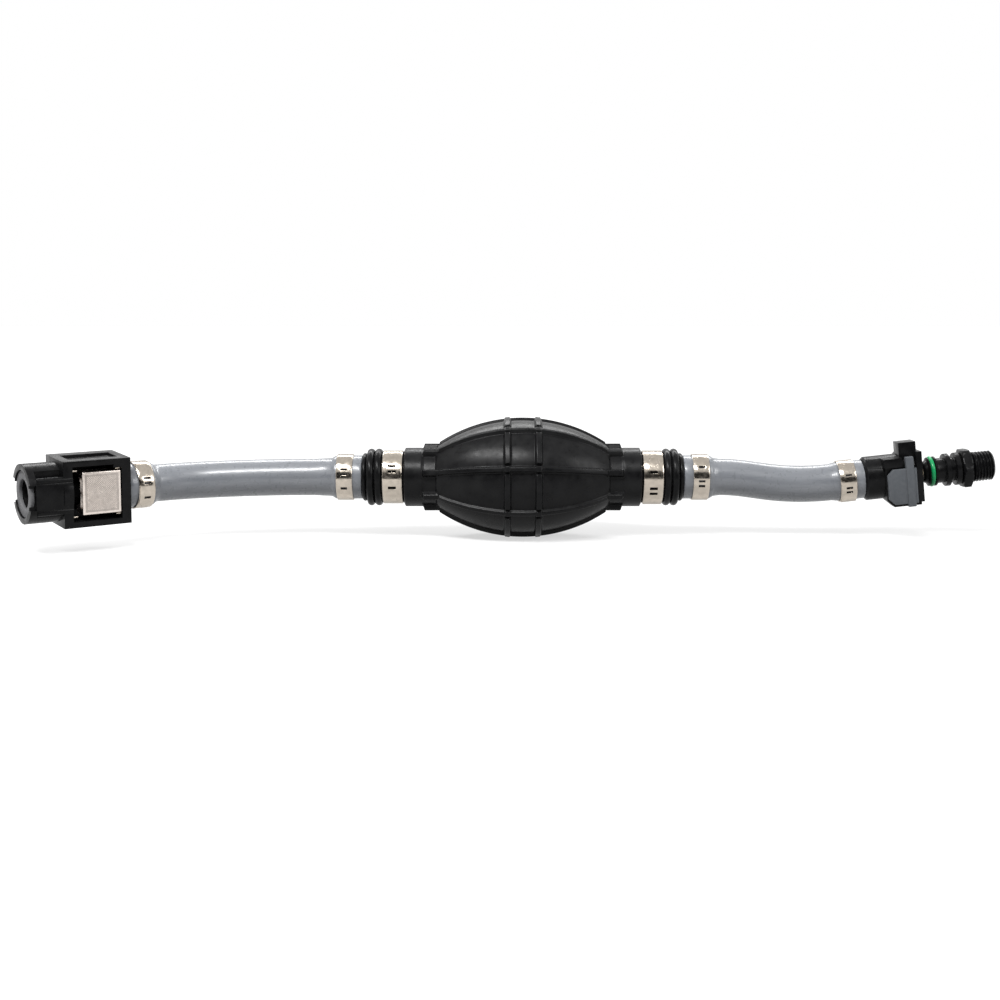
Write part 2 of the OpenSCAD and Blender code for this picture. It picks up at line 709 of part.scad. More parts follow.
// Four stop pins that keep the button in the window.
pin_r = 0.45;
module button_pins()
    color(steel) place(connector_frame)
        for (x = [plate_t + fit, plate_in - fit], z = [-1, 1])
            translate([x == plate_t + fit ? x : x - 2.2, button_front - 1.6, z * (button_h / 2 + 0.75)])
                rotate([0, 90, 0]) cylinder(h = 2.2, r = pin_r);

// ---------------------------------------------------------------- outlet coupling
// In its frame X runs outwards from the hose; the latch is on the -Y side.

module coupling_shell() {
    collar_from = coupling_len - collar_w;
    spin([[0, 0], [coupling_r - 1, 0], [coupling_r, 1], [coupling_r, collar_from],
          [collar_r - 0.4, collar_from], [collar_r, collar_from + 0.4],
          [collar_r, coupling_len - 0.8], [collar_r - 0.8, coupling_len], [0, coupling_len]]);
    // guard behind the thumb plate, with the plate's cut corners
    translate([0, -guard_out + 8, 0]) rotate([90, 0, 0]) linear_extrude(8)
        polygon([[thumb_from + 2.6, guard_low], [coupling_len - 1, guard_low],
                 [coupling_len - 1, thumb_top + 0.7], [thumb_from - 0.5, thumb_top + 0.7],
                 [thumb_from - 0.5, guard_low + 3.1]]);
    // ledge above the thumb plate
    block([thumb_from - 1, -guard_out - 1, thumb_top + 0.7], [latch_x - 2, 0, thumb_top + 4.8]);
    // end wall beside the thumb plate, and the tab on top of it
    block([thumb_to + slide_fit, -guard_out - 1.4, -collar_r - 0.4], [coupling_len, 0, collar_r + 0.4]);
    block([collar_from, -8, 0], [coupling_len - 1.2, 1, collar_r + 4.6]);
}

module coupling_body()
    color(black) place(coupling_frame) difference() {
        union() {
            coupling_shell();
            spin(concat([[0, 0.5], [end_barb_r - barb_depth, 0.5], [end_barb_r - barb_depth, 0]],
                        [for (p = barbs(0.1, barb_len, end_barb_r)) [p[0], -p[1]]],
                        [[passage_r + 0.4, -barb_len], [0, -barb_len]]));
        }
        rod(mouth_to, coupling_len + overrun, socket_mouth_r);
        rod(plug_seat - 0.3, coupling_len, bore_r);
        rod(plug_seat - 0.4 - lip_t, coupling_len, lip_r);
        rod(stem_bore_from, plug_seat - 0.3 - lip_t, stem_bore_r);
        rod(-barb_len - overrun, 0, passage_r - 0.8);
        // cross slot for the latch's ring and the recess for its thumb plate
        block([latch_x - slide_fit, -coupling_r - 3, -latch_half_h - slide_fit],
              [latch_x + latch_t + slide_fit, 9.6, latch_half_h + slide_fit]);
        block([latch_x - 7.9, -coupling_r - 3, thumb_top - thumb_h + 2.1],
              [latch_x + 3.2, -9.4, thumb_top - 1]);
    }

// Thumb plate and the ring that drops into the plug's groove, in one piece.
module thumb_latch()
    color(smoke) place(coupling_frame) difference() {
        union() {
            // thumb plate with two cut corners
            translate([0, -thumb_out + 2, 0]) rotate([90, 0, 0]) linear_extrude(2)
                polygon([[thumb_from + 2.6, thumb_low], [thumb_to, thumb_low], [thumb_to, thumb_top],
                         [thumb_from + 2.6, thumb_top], [thumb_from, thumb_top - 2.6],
                         [thumb_from, thumb_low + 2.6]]);
            // upright bar along the plate, with its tail
            block([latch_x - 0.9, -thumb_out - 0.7, thumb_low - 1.4],
                  [latch_x + latch_t + 0.9, -thumb_out + 2, latch_half_h + 0.6]);
            // ring plate across the bore
            block([latch_x, -thumb_out + 1, -latch_half_h + 0.2],
                  [latch_x + latch_t, 9, latch_half_h - 0.2]);
        }
        rod(latch_x - 3, latch_x + latch_t + 3, latch_hole_r);
    }

module latch_spring()
    color(dark_steel) place(coupling_frame)
        translate([latch_x - 5.4, 0, 0]) rotate([0, 0, -90])
            coil(9.5, thumb_out - 2 - fit, 1.5, 0.25, 1);

poppet_to = plug_seat - 0.3 - lip_t - slide_fit;
module coupling_poppet()
    color(dark_steel) place(coupling_frame) difference() {
        union() {
            rod(poppet_to - 4.4, poppet_to, stem_bore_r - 0.5);
            rod(poppet_to - 0.1, poppet_to + 0.9, lip_r - slide_fit);
        }
        tube(poppet_to - 2.8, poppet_to - 1.2, stem_bore_r + 1, stem_bore_r - 1.3);
    }

module coupling_poppet_seal()
    color(black) place(coupling_frame) tube(poppet_to - 2.7, poppet_to - 1.3, stem_bore_r - 0.1,
                                         stem_bore_r - 1.3 + 0.05);

module coupling_spring_seat()
    color(steel) place(coupling_frame)
        tube(stem_bore_from + fit, stem_bore_from + 1.5, stem_bore_r - fit, 1.6);

module coupling_spring()
    color(dark_steel) place(coupling_frame)
        coil(stem_bore_from + 1.5 + fit, poppet_to - 4.4 - fit, stem_bore_r - 1, valve_wire, 5);

// ---------------------------------------------------------------- plug
// In its frame X runs from the tip towards the thread.

ring_from = 2.6;
ring_t = rim_end - 0.9 - ring_from;
nose_fit_r = (stem_bore_r - 0.3 + groove_r) / 2;
nose_fit_to = groove_to - 0.5;

// Turned nose with the ring groove and the rim; its spigot is pressed into the body.
module plug_nose() {
    oring_groove_r = oring_out_r - 1.9;
    color(black) place(plug_frame) difference() {
        spin([[0, 0], [plug_r - 1.6, 0], [plug_r - 0.9, 0.7], [plug_r - 0.3, ring_from - 0.8],
              [oring_out_r - 0.4, ring_from - 0.3], [oring_out_r - 0.4, ring_from],
              [oring_groove_r, ring_from], [oring_groove_r, rim_end - 0.9],
              [oring_out_r - 0.2, rim_end - 0.9], [oring_out_r - 0.2, rim_end],
              [plug_r, rim_end + 0.1], [plug_r, flange_from - fit],
              [nose_fit_r - fit, flange_from - fit], [nose_fit_r - fit, nose_fit_to], [0, nose_fit_to]]);
        rod(-overrun, 1 + overrun, lip_r);
        rod(lip_t, nose_fit_to + overrun, stem_bore_r - 0.3);
    }
}

module plug_body() {
    neck = plug_r - 0.3;
    chamfer = 1.2;
    color(black) place(plug_frame) difference() {
        union() {
            spin([[0, flange_from], [plug_r, flange_from],
                  [flange_r, flange_from + 0.4], [flange_r, groove_from], [groove_r, groove_from],
                  [groove_r, groove_to], [flange_r, groove_to], [flange_r, groove_to + flange_t],
                  [neck, groove_to + flange_t], [neck, plug_thread - 0.2],
                  [thread_r - 0.7, plug_thread], [thread_r, plug_thread + 0.8],
                  [thread_r, plug_len - chamfer], [thread_r - 1, plug_len], [0, plug_len]]);
            translate([hex_from, 0, 0]) rotate([0, 90, 0]) rotate([0, 0, 30])
                cylinder(h = hex_t, r = hex_flats / sqrt(3), $fn = 6);
        }
        rod(flange_from - overrun, nose_fit_to + fit, nose_fit_r);
        rod(nose_fit_to, plug_len - 4, stem_bore_r - 0.3);
        rod(plug_len - 4 - overrun, plug_len + overrun, passage_r - 0.4);
    }
}

module plug_o_ring()
    color([0.25, 0.6, 0.35]) place(plug_frame) translate([ring_from + ring_t / 2, 0, 0])
        rotate([0, 90, 0]) rotate_extrude() translate([oring_out_r - 0.95, 0]) circle(0.95);

plug_poppet_from = lip_t + slide_fit;
module plug_poppet()
    color(dark_steel) place(plug_frame) union() {
        rod(plug_poppet_from, plug_poppet_from + 3, stem_bore_r - 0.8);
        rod(plug_poppet_from - 0.9, plug_poppet_from + 0.1, lip_r - slide_fit);
        rod(plug_poppet_from + 2.9, plug_poppet_from + 8, stem_r);
    }

plug_retainer_from = 16;
module plug_retainer()
    color(steel) place(plug_frame)
        tube(plug_retainer_from, plug_retainer_from + 1.5, stem_bore_r - 0.3 - fit, 1.7);

module plug_spring()
    color(dark_steel) place(plug_frame)
        coil(plug_poppet_from + 3 + fit, plug_retainer_from - fit, stem_bore_r - 1.4, valve_wire, 6);

translate(home) {
    bulb();
    neck_clamp_inlet();
    neck_clamp_outlet();
    inlet_valve_body();
    inlet_poppet();
    inlet_spring();
    inlet_retainer();
    outlet_valve_body();
    outlet_poppet();
    outlet_spring();
    outlet_seat();
    inlet_hose();
    outlet_hose();
    clamp_inlet_bulb();
    clamp_inlet_end();
    clamp_outlet_bulb();
    clamp_outlet_end();
    connector_housing();
    connector_barb();
    face_seal();
    socket_poppet();
    socket_spring();
    release_button();
    release_springs();
    button_pins();
    coupling_body();
    thumb_latch();
    latch_spring();
    coupling_poppet();
    coupling_poppet_seal();
    coupling_spring();
    coupling_spring_seat();
    plug_body();
    plug_nose();
    plug_o_ring();
    plug_poppet();
    plug_spring();
    plug_retainer();
}
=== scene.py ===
"""Fuel primer bulb line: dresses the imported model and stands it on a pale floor.

Sizes are in millimetres and turned to metres by MM.  Every piece is built in the
part's own frame, so its object stays at the origin.
"""

import json
import math

import bmesh
import bpy
from bpy.props import FloatProperty, FloatVectorProperty, IntProperty, PointerProperty
from mathutils import Matrix, Vector


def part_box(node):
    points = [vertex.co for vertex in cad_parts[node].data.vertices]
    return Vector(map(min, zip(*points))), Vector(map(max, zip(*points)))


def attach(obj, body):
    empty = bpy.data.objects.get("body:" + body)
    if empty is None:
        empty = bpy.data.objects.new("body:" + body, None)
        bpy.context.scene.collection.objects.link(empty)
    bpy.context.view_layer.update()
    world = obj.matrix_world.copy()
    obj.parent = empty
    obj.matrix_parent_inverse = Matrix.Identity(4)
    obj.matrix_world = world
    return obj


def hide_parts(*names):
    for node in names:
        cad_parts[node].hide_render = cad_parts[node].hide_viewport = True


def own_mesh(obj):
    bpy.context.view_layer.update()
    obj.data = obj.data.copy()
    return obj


bl_info = {
    "name": "Fuel primer bulb line",
    "version": (1, 0, 0),
    "blender": (4, 5, 0),
    "location": "View3D > Sidebar > Primer line",
    "description": "Builds the finished surfaces of a hand-squeezed fuel line",
    "category": "Object",
}

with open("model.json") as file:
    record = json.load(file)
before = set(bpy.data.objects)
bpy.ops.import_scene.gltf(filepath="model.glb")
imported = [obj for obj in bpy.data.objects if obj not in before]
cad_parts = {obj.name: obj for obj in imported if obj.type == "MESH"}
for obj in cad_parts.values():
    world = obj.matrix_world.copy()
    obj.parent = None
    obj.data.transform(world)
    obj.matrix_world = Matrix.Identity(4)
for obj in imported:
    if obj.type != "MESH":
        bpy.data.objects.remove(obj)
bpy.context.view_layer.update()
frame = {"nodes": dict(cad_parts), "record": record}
MM = 0.001
X_AXIS = Vector((1, 0, 0))


# ---------------------------------------------------------------- the frame's places

def node_centre(name):
    low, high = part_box(name)
    return (low + high) / 2


BULB_PLACE = Matrix.Translation(node_centre("bulb"))
BULB_HALF = (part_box("bulb")[1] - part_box("bulb")[0]).x / 2 / MM
INLET_SIDE = BULB_PLACE @ Matrix.Rotation(math.pi, 4, "Z")


# ---------------------------------------------------------------- settings

def size(name, text, default, high=200.0):
    return FloatProperty(name=name, description=text, default=default, min=0.0, max=high)


def tint(name, text, code):
    return FloatVectorProperty(name=name, description=text, subtype="COLOR", size=3,
                               default=srgb(code)[:3], min=0.0, max=1.0)


def srgb(code):
    """A hex colour as the linear values that the shaders take."""
    parts = [int(code[i:i + 2], 16) / 255 for i in (1, 3, 5)]
    return tuple(c / 12.92 if c <= 0.04045 else ((c + 0.055) / 1.055) ** 2.4
                 for c in parts) + (1.0,)


class BulbSettings(bpy.types.PropertyGroup):
    length: size("Length", "Length of the swelling in mm", 78.0)
    radius: size("Radius", "Radius between the ribs in mm", 26.0)
    end_radius: size("End radius", "Radius where the swelling ends in mm", 14.0)
    rib_height: size("Rib height", "Height of the ribs in mm", 1.6)
    rib_width: size("Rib width", "Width of the ribs in mm", 2.0)
    rib_count: IntProperty(name="Ribs", description="Ribs along the bulb", default=8)
    rib_turn: size("Rib turn", "Turn of the ribs in degrees", 30.7)
    ring_gap: size("Ring gap", "Distance between the ring ribs in mm", 14.0)
    ring_width: size("Ring width", "Width of a ring rib in mm", 3.0)
    collar: size("Collar", "Length of the notched collar in mm", 6.0)
    neck_radius: size("Neck radius", "Radius of the smooth neck in mm", 13.5)
    neck: size("Neck", "Length of the smooth neck in mm", 9.4)
    grip_radius: size("Grip radius", "Radius under the clamp in mm", 11.6)
    wall: size("Wall", "Wall of the bulb in mm", 3.2)
    colour: tint("Rubber", "Colour of the rubber", "#0d0d0e")


class LineSettings(bpy.types.PropertyGroup):
    hose_radius: size("Hose radius", "Outer radius of the hose in mm", 8.4)
    bore_radius: size("Bore radius", "Bore of the hose in mm", 4.75)
    sleeve_radius: size("Sleeve radius", "Radius over the barbs in mm", 10.0)
    end_sleeve_radius: size("End sleeve radius", "Radius over the coupling's barbs in mm", 8.9)
    band: size("Band", "Thickness of the clamp band in mm", 0.6)
    hose_band: size("Hose band", "Width of a hose clamp in mm", 7.4)
    neck_band: size("Neck band", "Width of a neck clamp in mm", 9.0)
    hose_colour: tint("Vinyl", "Colour of the hose", "#696c71")
    steel_colour: tint("Steel", "Colour of the clamps", "#b5aca0")
    button_colour: tint("Button", "Colour of the release button", "#d6ccc4")


class FittingSettings(bpy.types.PropertyGroup):
    edge: size("Edge", "Rounding of the moulded edges in mm", 0.35)
    plastic_colour: tint("Nylon", "Colour of the moulded fittings", "#0b0b0c")
    latch_colour: tint("Latch", "Colour of the thumb latch", "#4d5054")
    seal_colour: tint("Seal", "Colour of the face seal", "#5f5f61")
    ring_colour: tint("O-ring", "Colour of the plug's O-ring", "#0c8a50")


class StageSettings(bpy.types.PropertyGroup):
    lens: FloatProperty(name="Lens", description="Focal length", default=50.0, unit="CAMERA")
    distance: size("Distance", "Camera to bulb in mm", 639.0, high=5000.0)
    elevation: size("Elevation", "Camera height in degrees", 8.0)


# ---------------------------------------------------------------- mesh tools

def plain_object(name, data):
    thing = bpy.data.objects.new(name, data)
    bpy.context.scene.collection.objects.link(thing)
    return thing


def shade_smooth(data):
    for face in data.polygons:
        face.use_smooth = True


def sharpen(thing, angle):
    """Splits the shading where the surface turns by more than angle degrees."""
    thing.data.set_sharp_from_angle(angle=math.radians(angle))
    return thing


def object_of(name, mesh, smooth=True):
    """Turns a bmesh into an object and frees it."""
    data = bpy.data.meshes.new(name)
    mesh.to_mesh(data)
    mesh.free()
    if smooth:
        shade_smooth(data)
    return plain_object(name, data)


def spoke(place, station, radius, angle):
    """The point at a station along X, a radius and an angle round it, in mm."""
    point = Vector((station, radius * math.cos(angle), radius * math.sin(angle)))
    return place @ (point * MM)


def spaced(first, last, count):
    """Values from first to last in count even steps."""
    return [first + (last - first) * i / count for i in range(count + 1)]


def round_turn(sides):
    return [2 * math.pi * i / sides for i in range(sides)]


def skin(name, rings):
    """Joins closed rings of points in turn, and the last to the first."""
    mesh = bmesh.new()
    rows = [[mesh.verts.new(p) for p in ring] for ring in rings]
    for near, far in zip(rows, rows[1:] + rows[:1]):
        n = len(near)
        for i in range(n):
            j = (i + 1) % n
            mesh.faces.new((near[i], near[j], far[j], far[i]))
    bmesh.ops.recalc_face_normals(mesh, faces=mesh.faces)
    return object_of(name, mesh)


def turned(name, place, profile, sides=96, shape=None):
    """Revolves [station, radius] points (mm) about the X axis of place."""
    rings = []
    for station, radius in profile:
        rings.append([
            spoke(place, station, shape(station, a, radius) if shape else radius, a)
            for a in round_turn(sides)])
    return skin(name, rings)


def bevelled(thing, width, segments, angle):
    """Rounds, with a modifier, the edges that turn by more than angle degrees."""
    bevel = thing.modifiers.new("edges", "BEVEL")
    bevel.width = width * MM
    bevel.segments = segments
    bevel.limit_method = "ANGLE"
    bevel.angle_limit = math.radians(angle)


def apply_modifiers(thing):
    """Bakes what the modifiers and node trees make into a plain mesh."""
    graph = bpy.context.evaluated_depsgraph_get()
    baked = bpy.data.meshes.new_from_object(thing.evaluated_get(graph))
    old = thing.data
    thing.modifiers.clear()
    thing.data = baked
    baked.name = thing.name
    bpy.data.meshes.remove(old)
    return thing


def softened(node, name, width, segments=3):
    """A copy of a CAD piece with its moulded edges rounded."""
    mesh = bmesh.new()
    mesh.from_mesh(frame["nodes"][node].data)
    bmesh.ops.remove_doubles(mesh, verts=mesh.verts, dist=1e-6)
    bmesh.ops.dissolve_limit(mesh, angle_limit=math.radians(1.0), verts=mesh.verts,
                             edges=mesh.edges)
    thing = object_of(name, mesh, smooth=False)
    bevelled(thing, width, segments, 28)
    apply_modifiers(thing)
    shade_smooth(thing.data)
    return sharpen(thing, 34)


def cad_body(node):
    """The body that carries a CAD node."""
    bodies = frame["record"]["behaviour"]["bodies"]
    return next(body for body, nodes in bodies.items() if node in nodes)


def settle(thing, node, slot, *more):
    """Gives a piece its finish, its body and the CAD nodes that it stands for."""
    thing.data.materials.clear()
    thing.data.materials.append(FINISH[slot])
    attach(thing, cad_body(node))
    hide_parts(node, *more)


# ---------------------------------------------------------------- materials

def set_inputs(node, values):
    for key, value in values.items():
        node.inputs[key].default_value = value


def add(tree, kind, inputs=(), links=(), **settings):
    """Adds one node: its settings, its input values and links into it."""
    node = tree.nodes.new(kind)
    for key, value in settings.items():
        setattr(node, key, value)
    set_inputs(node, dict(inputs))
    for key, socket in dict(links).items():
        tree.links.new(socket, node.inputs[key])
    return node


def surface(name):
    """A new material: its tree, its shader and the piece's own coordinates."""
    material = bpy.data.materials.new(name)
    material.use_nodes = True
    tree = material.node_tree
    tree.nodes.clear()
    shader = add(tree, "ShaderNodeBsdfPrincipled")
    out = add(tree, "ShaderNodeOutputMaterial", links={"Surface": shader.outputs[0]})
    out.is_active_output = True
    where = add(tree, "ShaderNodeTexCoord").outputs["Object"]
    return material, tree, shader, where


def opaque(colour):
    return tuple(colour) + (1.0,)


def lighter(colour, share):
    return tuple(c + (1 - c) * share for c in colour[:3]) + (1.0,)


def noise(tree, where, grain, detail):
    """Noise whose grains are as many mm wide as grain says."""
    node = add(tree, "ShaderNodeTexNoise", {"Scale": 1 / (grain * MM), "Detail": detail},
               {"Vector": where})
    return node.outputs["Fac"]


def stretched(tree, where, scale):
    """Coordinates scaled along each axis, for a pattern drawn out in lines."""
    mapping = add(tree, "ShaderNodeMapping", {"Scale": scale}, {"Vector": where})
    return mapping.outputs["Vector"]


def mottled(tree, shader, where, colour, other, grain, detail=4.0):
    """Base colour that drifts between two tints."""
    ramp = add(tree, "ShaderNodeMapRange", {"From Min": 0.35, "From Max": 0.65},
               {"Value": noise(tree, where, grain, detail)})
    mix = add(tree, "ShaderNodeMix", links={"Factor": ramp.outputs["Result"]},
              data_type="RGBA")
    set_inputs(mix, {"A": colour, "B": other})
    tree.links.new(mix.outputs["Result"], shader.inputs["Base Color"])


def drifting_roughness(tree, shader, where, low, high, grain):
    """Roughness that drifts between two values."""
    spread = add(tree, "ShaderNodeMapRange", {"To Min": low, "To Max": high,
                                              "From Min": 0.3, "From Max": 0.7},
                 {"Value": noise(tree, where, grain, 3.0)})
    tree.links.new(spread.outputs["Result"], shader.inputs["Roughness"])


def grained(tree, shader, where, grain, detail, depth, strength=0.4):
    """Fine bumps in the shading, grain and depth in mm."""
    bump = add(tree, "ShaderNodeBump", {"Strength": strength, "Distance": depth * MM},
               {"Height": noise(tree, where, grain, detail)})
    tree.links.new(bump.outputs["Normal"], shader.inputs["Normal"])


def moulded_rubber(colour):
    """Moulded nitrile rubber: near black, satin, with a fine bloom and mould grain."""
    material, tree, shader, where = surface("moulded_nitrile_rubber")
    base = opaque(colour)
    mottled(tree, shader, where, base, lighter(base, 0.004), 6.0)
    drifting_roughness(tree, shader, where, 0.25, 0.38, 3.0)
    set_inputs(shader, {"IOR": 1.5, "Specular IOR Level": 0.11})
    grained(tree, shader, where, 0.5, 3.0, 0.02)
    return material


def moulded_nylon(name, colour, rough):
    """Injection-moulded nylon: black with a half gloss and slight flow marks."""
    material, tree, shader, where = surface(name)
    base = opaque(colour)
    mottled(tree, shader, where, base, lighter(base, 0.003), 4.0)
    drifting_roughness(tree, shader, where, rough - 0.06, rough + 0.08, 2.5)
    set_inputs(shader, {"IOR": 1.5, "Specular IOR Level": 0.09})
    grained(tree, shader, where, 0.35, 2.0, 0.015)
    return material


def extruded_vinyl(colour):
    """Extruded vinyl hose: grey, slightly clear, with faint lengthwise draw marks."""
    material, tree, shader, where = surface("extruded_grey_vinyl")
    base = opaque(colour)
    drawn = stretched(tree, where, (0.12, 1.0, 1.0))
    mottled(tree, shader, drawn, base, lighter(base, 0.03), 2.5, 3.0)
    drifting_roughness(tree, shader, where, 0.24, 0.38, 2.0)
    set_inputs(shader, {"Subsurface Weight": 0.18, "Subsurface Radius": (0.6, 0.62, 0.66),
                        "Subsurface Scale": 2.0 * MM, "Coat Weight": 0.25,
                        "Coat Roughness": 0.12})
    grained(tree, shader, drawn, 1.4, 1.0, 0.02, 0.2)
    return material


def rolled_steel(name, colour, rough):
    """Rolled stainless strip: bright, with fine scratches along the roll."""
    material, tree, shader, where = surface(name)
    base = opaque(colour)
    mottled(tree, shader, where, base, opaque(c * 0.86 for c in base[:3]), 2.2)
    set_inputs(shader, {"Metallic": 1.0})
    drifting_roughness(tree, shader, where, rough - 0.05, rough + 0.1, 1.5)
    grained(tree, shader, stretched(tree, where, (1.0, 0.05, 0.05)), 0.12, 2.0, 0.012, 0.5)
    return material


def plain_finish(name, code, rough, metallic=0.0):
    """A turned or moulded small piece with a fine even grain."""
    material, tree, shader, where = surface(name)
    base = srgb(code) if isinstance(code, str) else opaque(code)
    mottled(tree, shader, where, base, lighter(base, 0.012), 1.5)
    set_inputs(shader, {"Metallic": metallic})
    if not metallic:
        set_inputs(shader, {"Specular IOR Level": 0.22})
    drifting_roughness(tree, shader, where, rough - 0.05, rough + 0.08, 1.2)
    grained(tree, shader, where, 0.4, 2.0, 0.02)
    return material


FINISH = {}


def make_finishes(scene):
    bulb, line, fitting = scene.primer_bulb, scene.primer_line, scene.primer_fitting
    # the button's colour dimmed to 0.6 is painted shade for the pressed panel, the same steel
    # made darker
    shaded_button_colour = tuple(c * 0.6 for c in line.button_colour)
    FINISH.update(
        rubber=moulded_rubber(bulb.colour),
        black_nylon=moulded_nylon("moulded_black_nylon", fitting.plastic_colour, 0.26),
        black_plastic=moulded_nylon("glossy_black_nylon", fitting.plastic_colour, 0.27),
        hose=extruded_vinyl(line.hose_colour),
        band_steel=rolled_steel("rolled_stainless_band", line.steel_colour, 0.16),
        button_steel=rolled_steel("pressed_stainless_sheet", line.button_colour, 0.26),
        dimpled_steel=rolled_steel("dimpled_stainless_painted_shade", shaded_button_colour, 0.4),
        spring_steel=plain_finish("drawn_spring_wire", "#9a9a98", 0.3, 1.0),
        brass=plain_finish("turned_brass", "#c2a05a", 0.25, 1.0),
        grey_seal=plain_finish("moulded_grey_seal", fitting.seal_colour, 0.55),
        grey_latch=plain_finish("moulded_grey_acetal", fitting.latch_colour, 0.42),
        green_seal=plain_finish("moulded_fluoro_rubber", fitting.ring_colour, 0.3),
    )


# ---------------------------------------------------------------- bulb

BULB_BORE = 9.5


def ease(t):
    """Smooth step from 0 to 1."""
    t = max(0.0, min(1.0, t))
    return t * t * (3 - 2 * t)


def bump_over(distance, half_width, fillet):
    """1 inside half_width, falling to 0 over the fillet."""
    return 1 - ease((distance - half_width) / fillet)


def bulb_base(s, x):
    """Radius of the bulb between its ribs at a station."""
    half = s.length / 2
    sag = s.radius - s.end_radius
    arc = (half * half + sag * sag) / (2 * sag)
    collar_end = half + s.collar
    neck_end = collar_end + s.neck
    swelling = math.sqrt(max(arc * arc - min(x, half) ** 2, 0)) - (arc - s.radius)
    recess = s.end_radius - 1
    if x < half + 0.7:
        return swelling + (recess - swelling) * ease((x - half + 0.1) / 0.8)
    if x < collar_end + 1.6:
        return recess + (s.neck_radius - recess) * ease((x - collar_end + 0.3) / 1.5)
    if x < neck_end - 1.2:
        return s.neck_radius
    return s.neck_radius + (s.grip_radius - s.neck_radius) * ease((x - neck_end + 1.0) / 1.2)


def bulb_radius(s, station, angle, base):
    """Outer radius with the long ribs, their pads and the ring ribs."""
    x = abs(station)
    half = s.length / 2
    step = 2 * math.pi / s.rib_count
    off = (angle + math.pi - math.radians(s.rib_turn)) % step
    off = min(off, step - off)
    across = base * math.sin(off)
    wide = s.rib_width / 2 + (0.25 if x > half - 1 else 0.0)
    rib = bump_over(across, wide - 0.35, 0.9)
    pad_end = half + s.collar - 0.2
    run_out = 1 - ease((x - pad_end) / 1.0)
    swelling = bulb_base(s, min(x, half - 0.8))
    top = swelling + s.rib_height
    if x > half - 0.8:
        top = min(top, s.end_radius + s.rib_height - 0.15)
    rib_top = base + max(top - base, 0) * rib * run_out
    ring = bump_over(abs(x - s.ring_gap / 2), s.ring_width / 2 - 0.55, 1.0)
    pinch = 1 - 0.75 * bump_over(abs(across - s.rib_width / 2 - 0.75), 0.15, 0.5)
    ring_top = base + (s.rib_height + 0.3) * ring * pinch
    return max(rib_top, ring_top, base)


def bulb_stations(s):
    """Stations along the bulb, close together at the ring ribs and the steps."""
    half = s.length / 2
    collar_end = half + s.collar
    neck_end = collar_end + s.neck
    ring = s.ring_gap / 2
    stretches = (
        (0, ring - 3, 5), (ring - 2.4, ring + 2.4, 20), (ring + 3, half - 2, 34),
        (half - 1.5, half + 1.1, 14), (half + 1.6, collar_end - 1, 5),
        (collar_end - 0.6, collar_end + 1.8, 12), (collar_end + 2.6, neck_end - 1.6, 4),
        (neck_end - 1.1, neck_end + 0.4, 8), (neck_end + 1.2, BULB_HALF, 4))
    right = sorted({round(v, 3) for stretch in stretches for v in spaced(*stretch)})
    return [-v for v in reversed(right) if v > 0] + right


def bulb_angles(s):
    """Angles round the bulb, close together at each rib."""
    step = 360 / s.rib_count
    near = [0, 0.7, 1.3, 1.8, 2.3, 2.8, 3.3, 3.9, 4.7, 5.8, 7.5, 10, 13.5, 18]
    half = [a for a in near if a < step / 2]
    one = [-a for a in reversed(half) if a > 0] + half + [step / 2]
    return sorted(math.radians((s.rib_turn + i * step + a) % 360)
                  for i in range(s.rib_count) for a in one)


def make_bulb(s):
    angles = bulb_angles(s)
    rings = []
    for station in bulb_stations(s):
        base = bulb_base(s, abs(station))
        rings.append([spoke(BULB_PLACE, station, bulb_radius(s, station, a, base), a)
                      for a in angles])
    # the hollow, back from the outlet end to the inlet end
    inner = [(BULB_HALF, BULB_BORE), (46.5, BULB_BORE), (43.0, 8.6), (38.0, 10.5),
             (28.0, 16.8), (16.0, 20.8), (0.0, s.radius - s.wall)]
    inner += [(-x, r) for x, r in reversed(inner[:-1])]
    for station, r in inner:
        rings.append([spoke(BULB_PLACE, station, r, a) for a in angles])
    thing = sharpen(skin("ribbed_bulb", rings), 60)
    settle(thing, "bulb", "rubber")


# ---------------------------------------------------------------- fittings at the bulb

FITTING = dict(inner=46.0, grip_end=64.0, bead_end=71.0, hose=73.3, spigot=9.4, bead=13.1,
               stop=11.0, barb=6.25, root=5.65, barb_len=14.0, passage=3.6, chamber=7.0)
BARBS = 3


def half_round(start, end, base, top, steps=10):
    """Points over a rounded bead between two stations."""
    out = []
    for i in range(steps + 1):
        a = math.pi * i / steps
        out.append((start + (end - start) * (1 - math.cos(a)) / 2,
                    base + (top - base) * math.sin(a)))
    return out


def make_fitting(name, node, place, chamber_to):
    """Spigot, two beads, stop ring and barbed stem, bored through."""
    f = FITTING
    middle = (f["grip_end"] + f["bead_end"]) / 2
    outside = [(f["inner"], f["spigot"] - 0.5), (f["inner"] + 0.8, f["spigot"]),
               (f["grip_end"] + 0.1, f["spigot"]), (f["grip_end"] + 0.1, f["bead"] - 1.9)]
    outside += half_round(f["grip_end"] + 0.1, middle + 0.05, f["bead"] - 1.6, f["bead"])
    outside += half_round(middle + 0.1, f["bead_end"], f["bead"] - 1.6, f["bead"])
    outside += half_round(f["bead_end"] + 0.15, f["hose"] - 0.1, f["stop"] - 1.0, f["stop"])
    outside += [(f["hose"] - 0.08, f["root"])]
    step = f["barb_len"] / BARBS
    for i in range(BARBS):
        at = f["hose"] + i * step
        outside += [(at + 0.6, f["barb"]), (at + 1.4, f["barb"]), (at + step - 0.2, f["root"])]
    end = f["hose"] + f["barb_len"]
    outside += [(end, f["passage"] + 0.6)]
    inside = [(end, f["passage"]), (chamber_to, f["passage"]), (chamber_to, f["chamber"]),
              (f["inner"], f["chamber"])]
    thing = sharpen(turned(name, place, outside + inside), 40)
    settle(thing, node, "black_nylon")


# ---------------------------------------------------------------- hoses

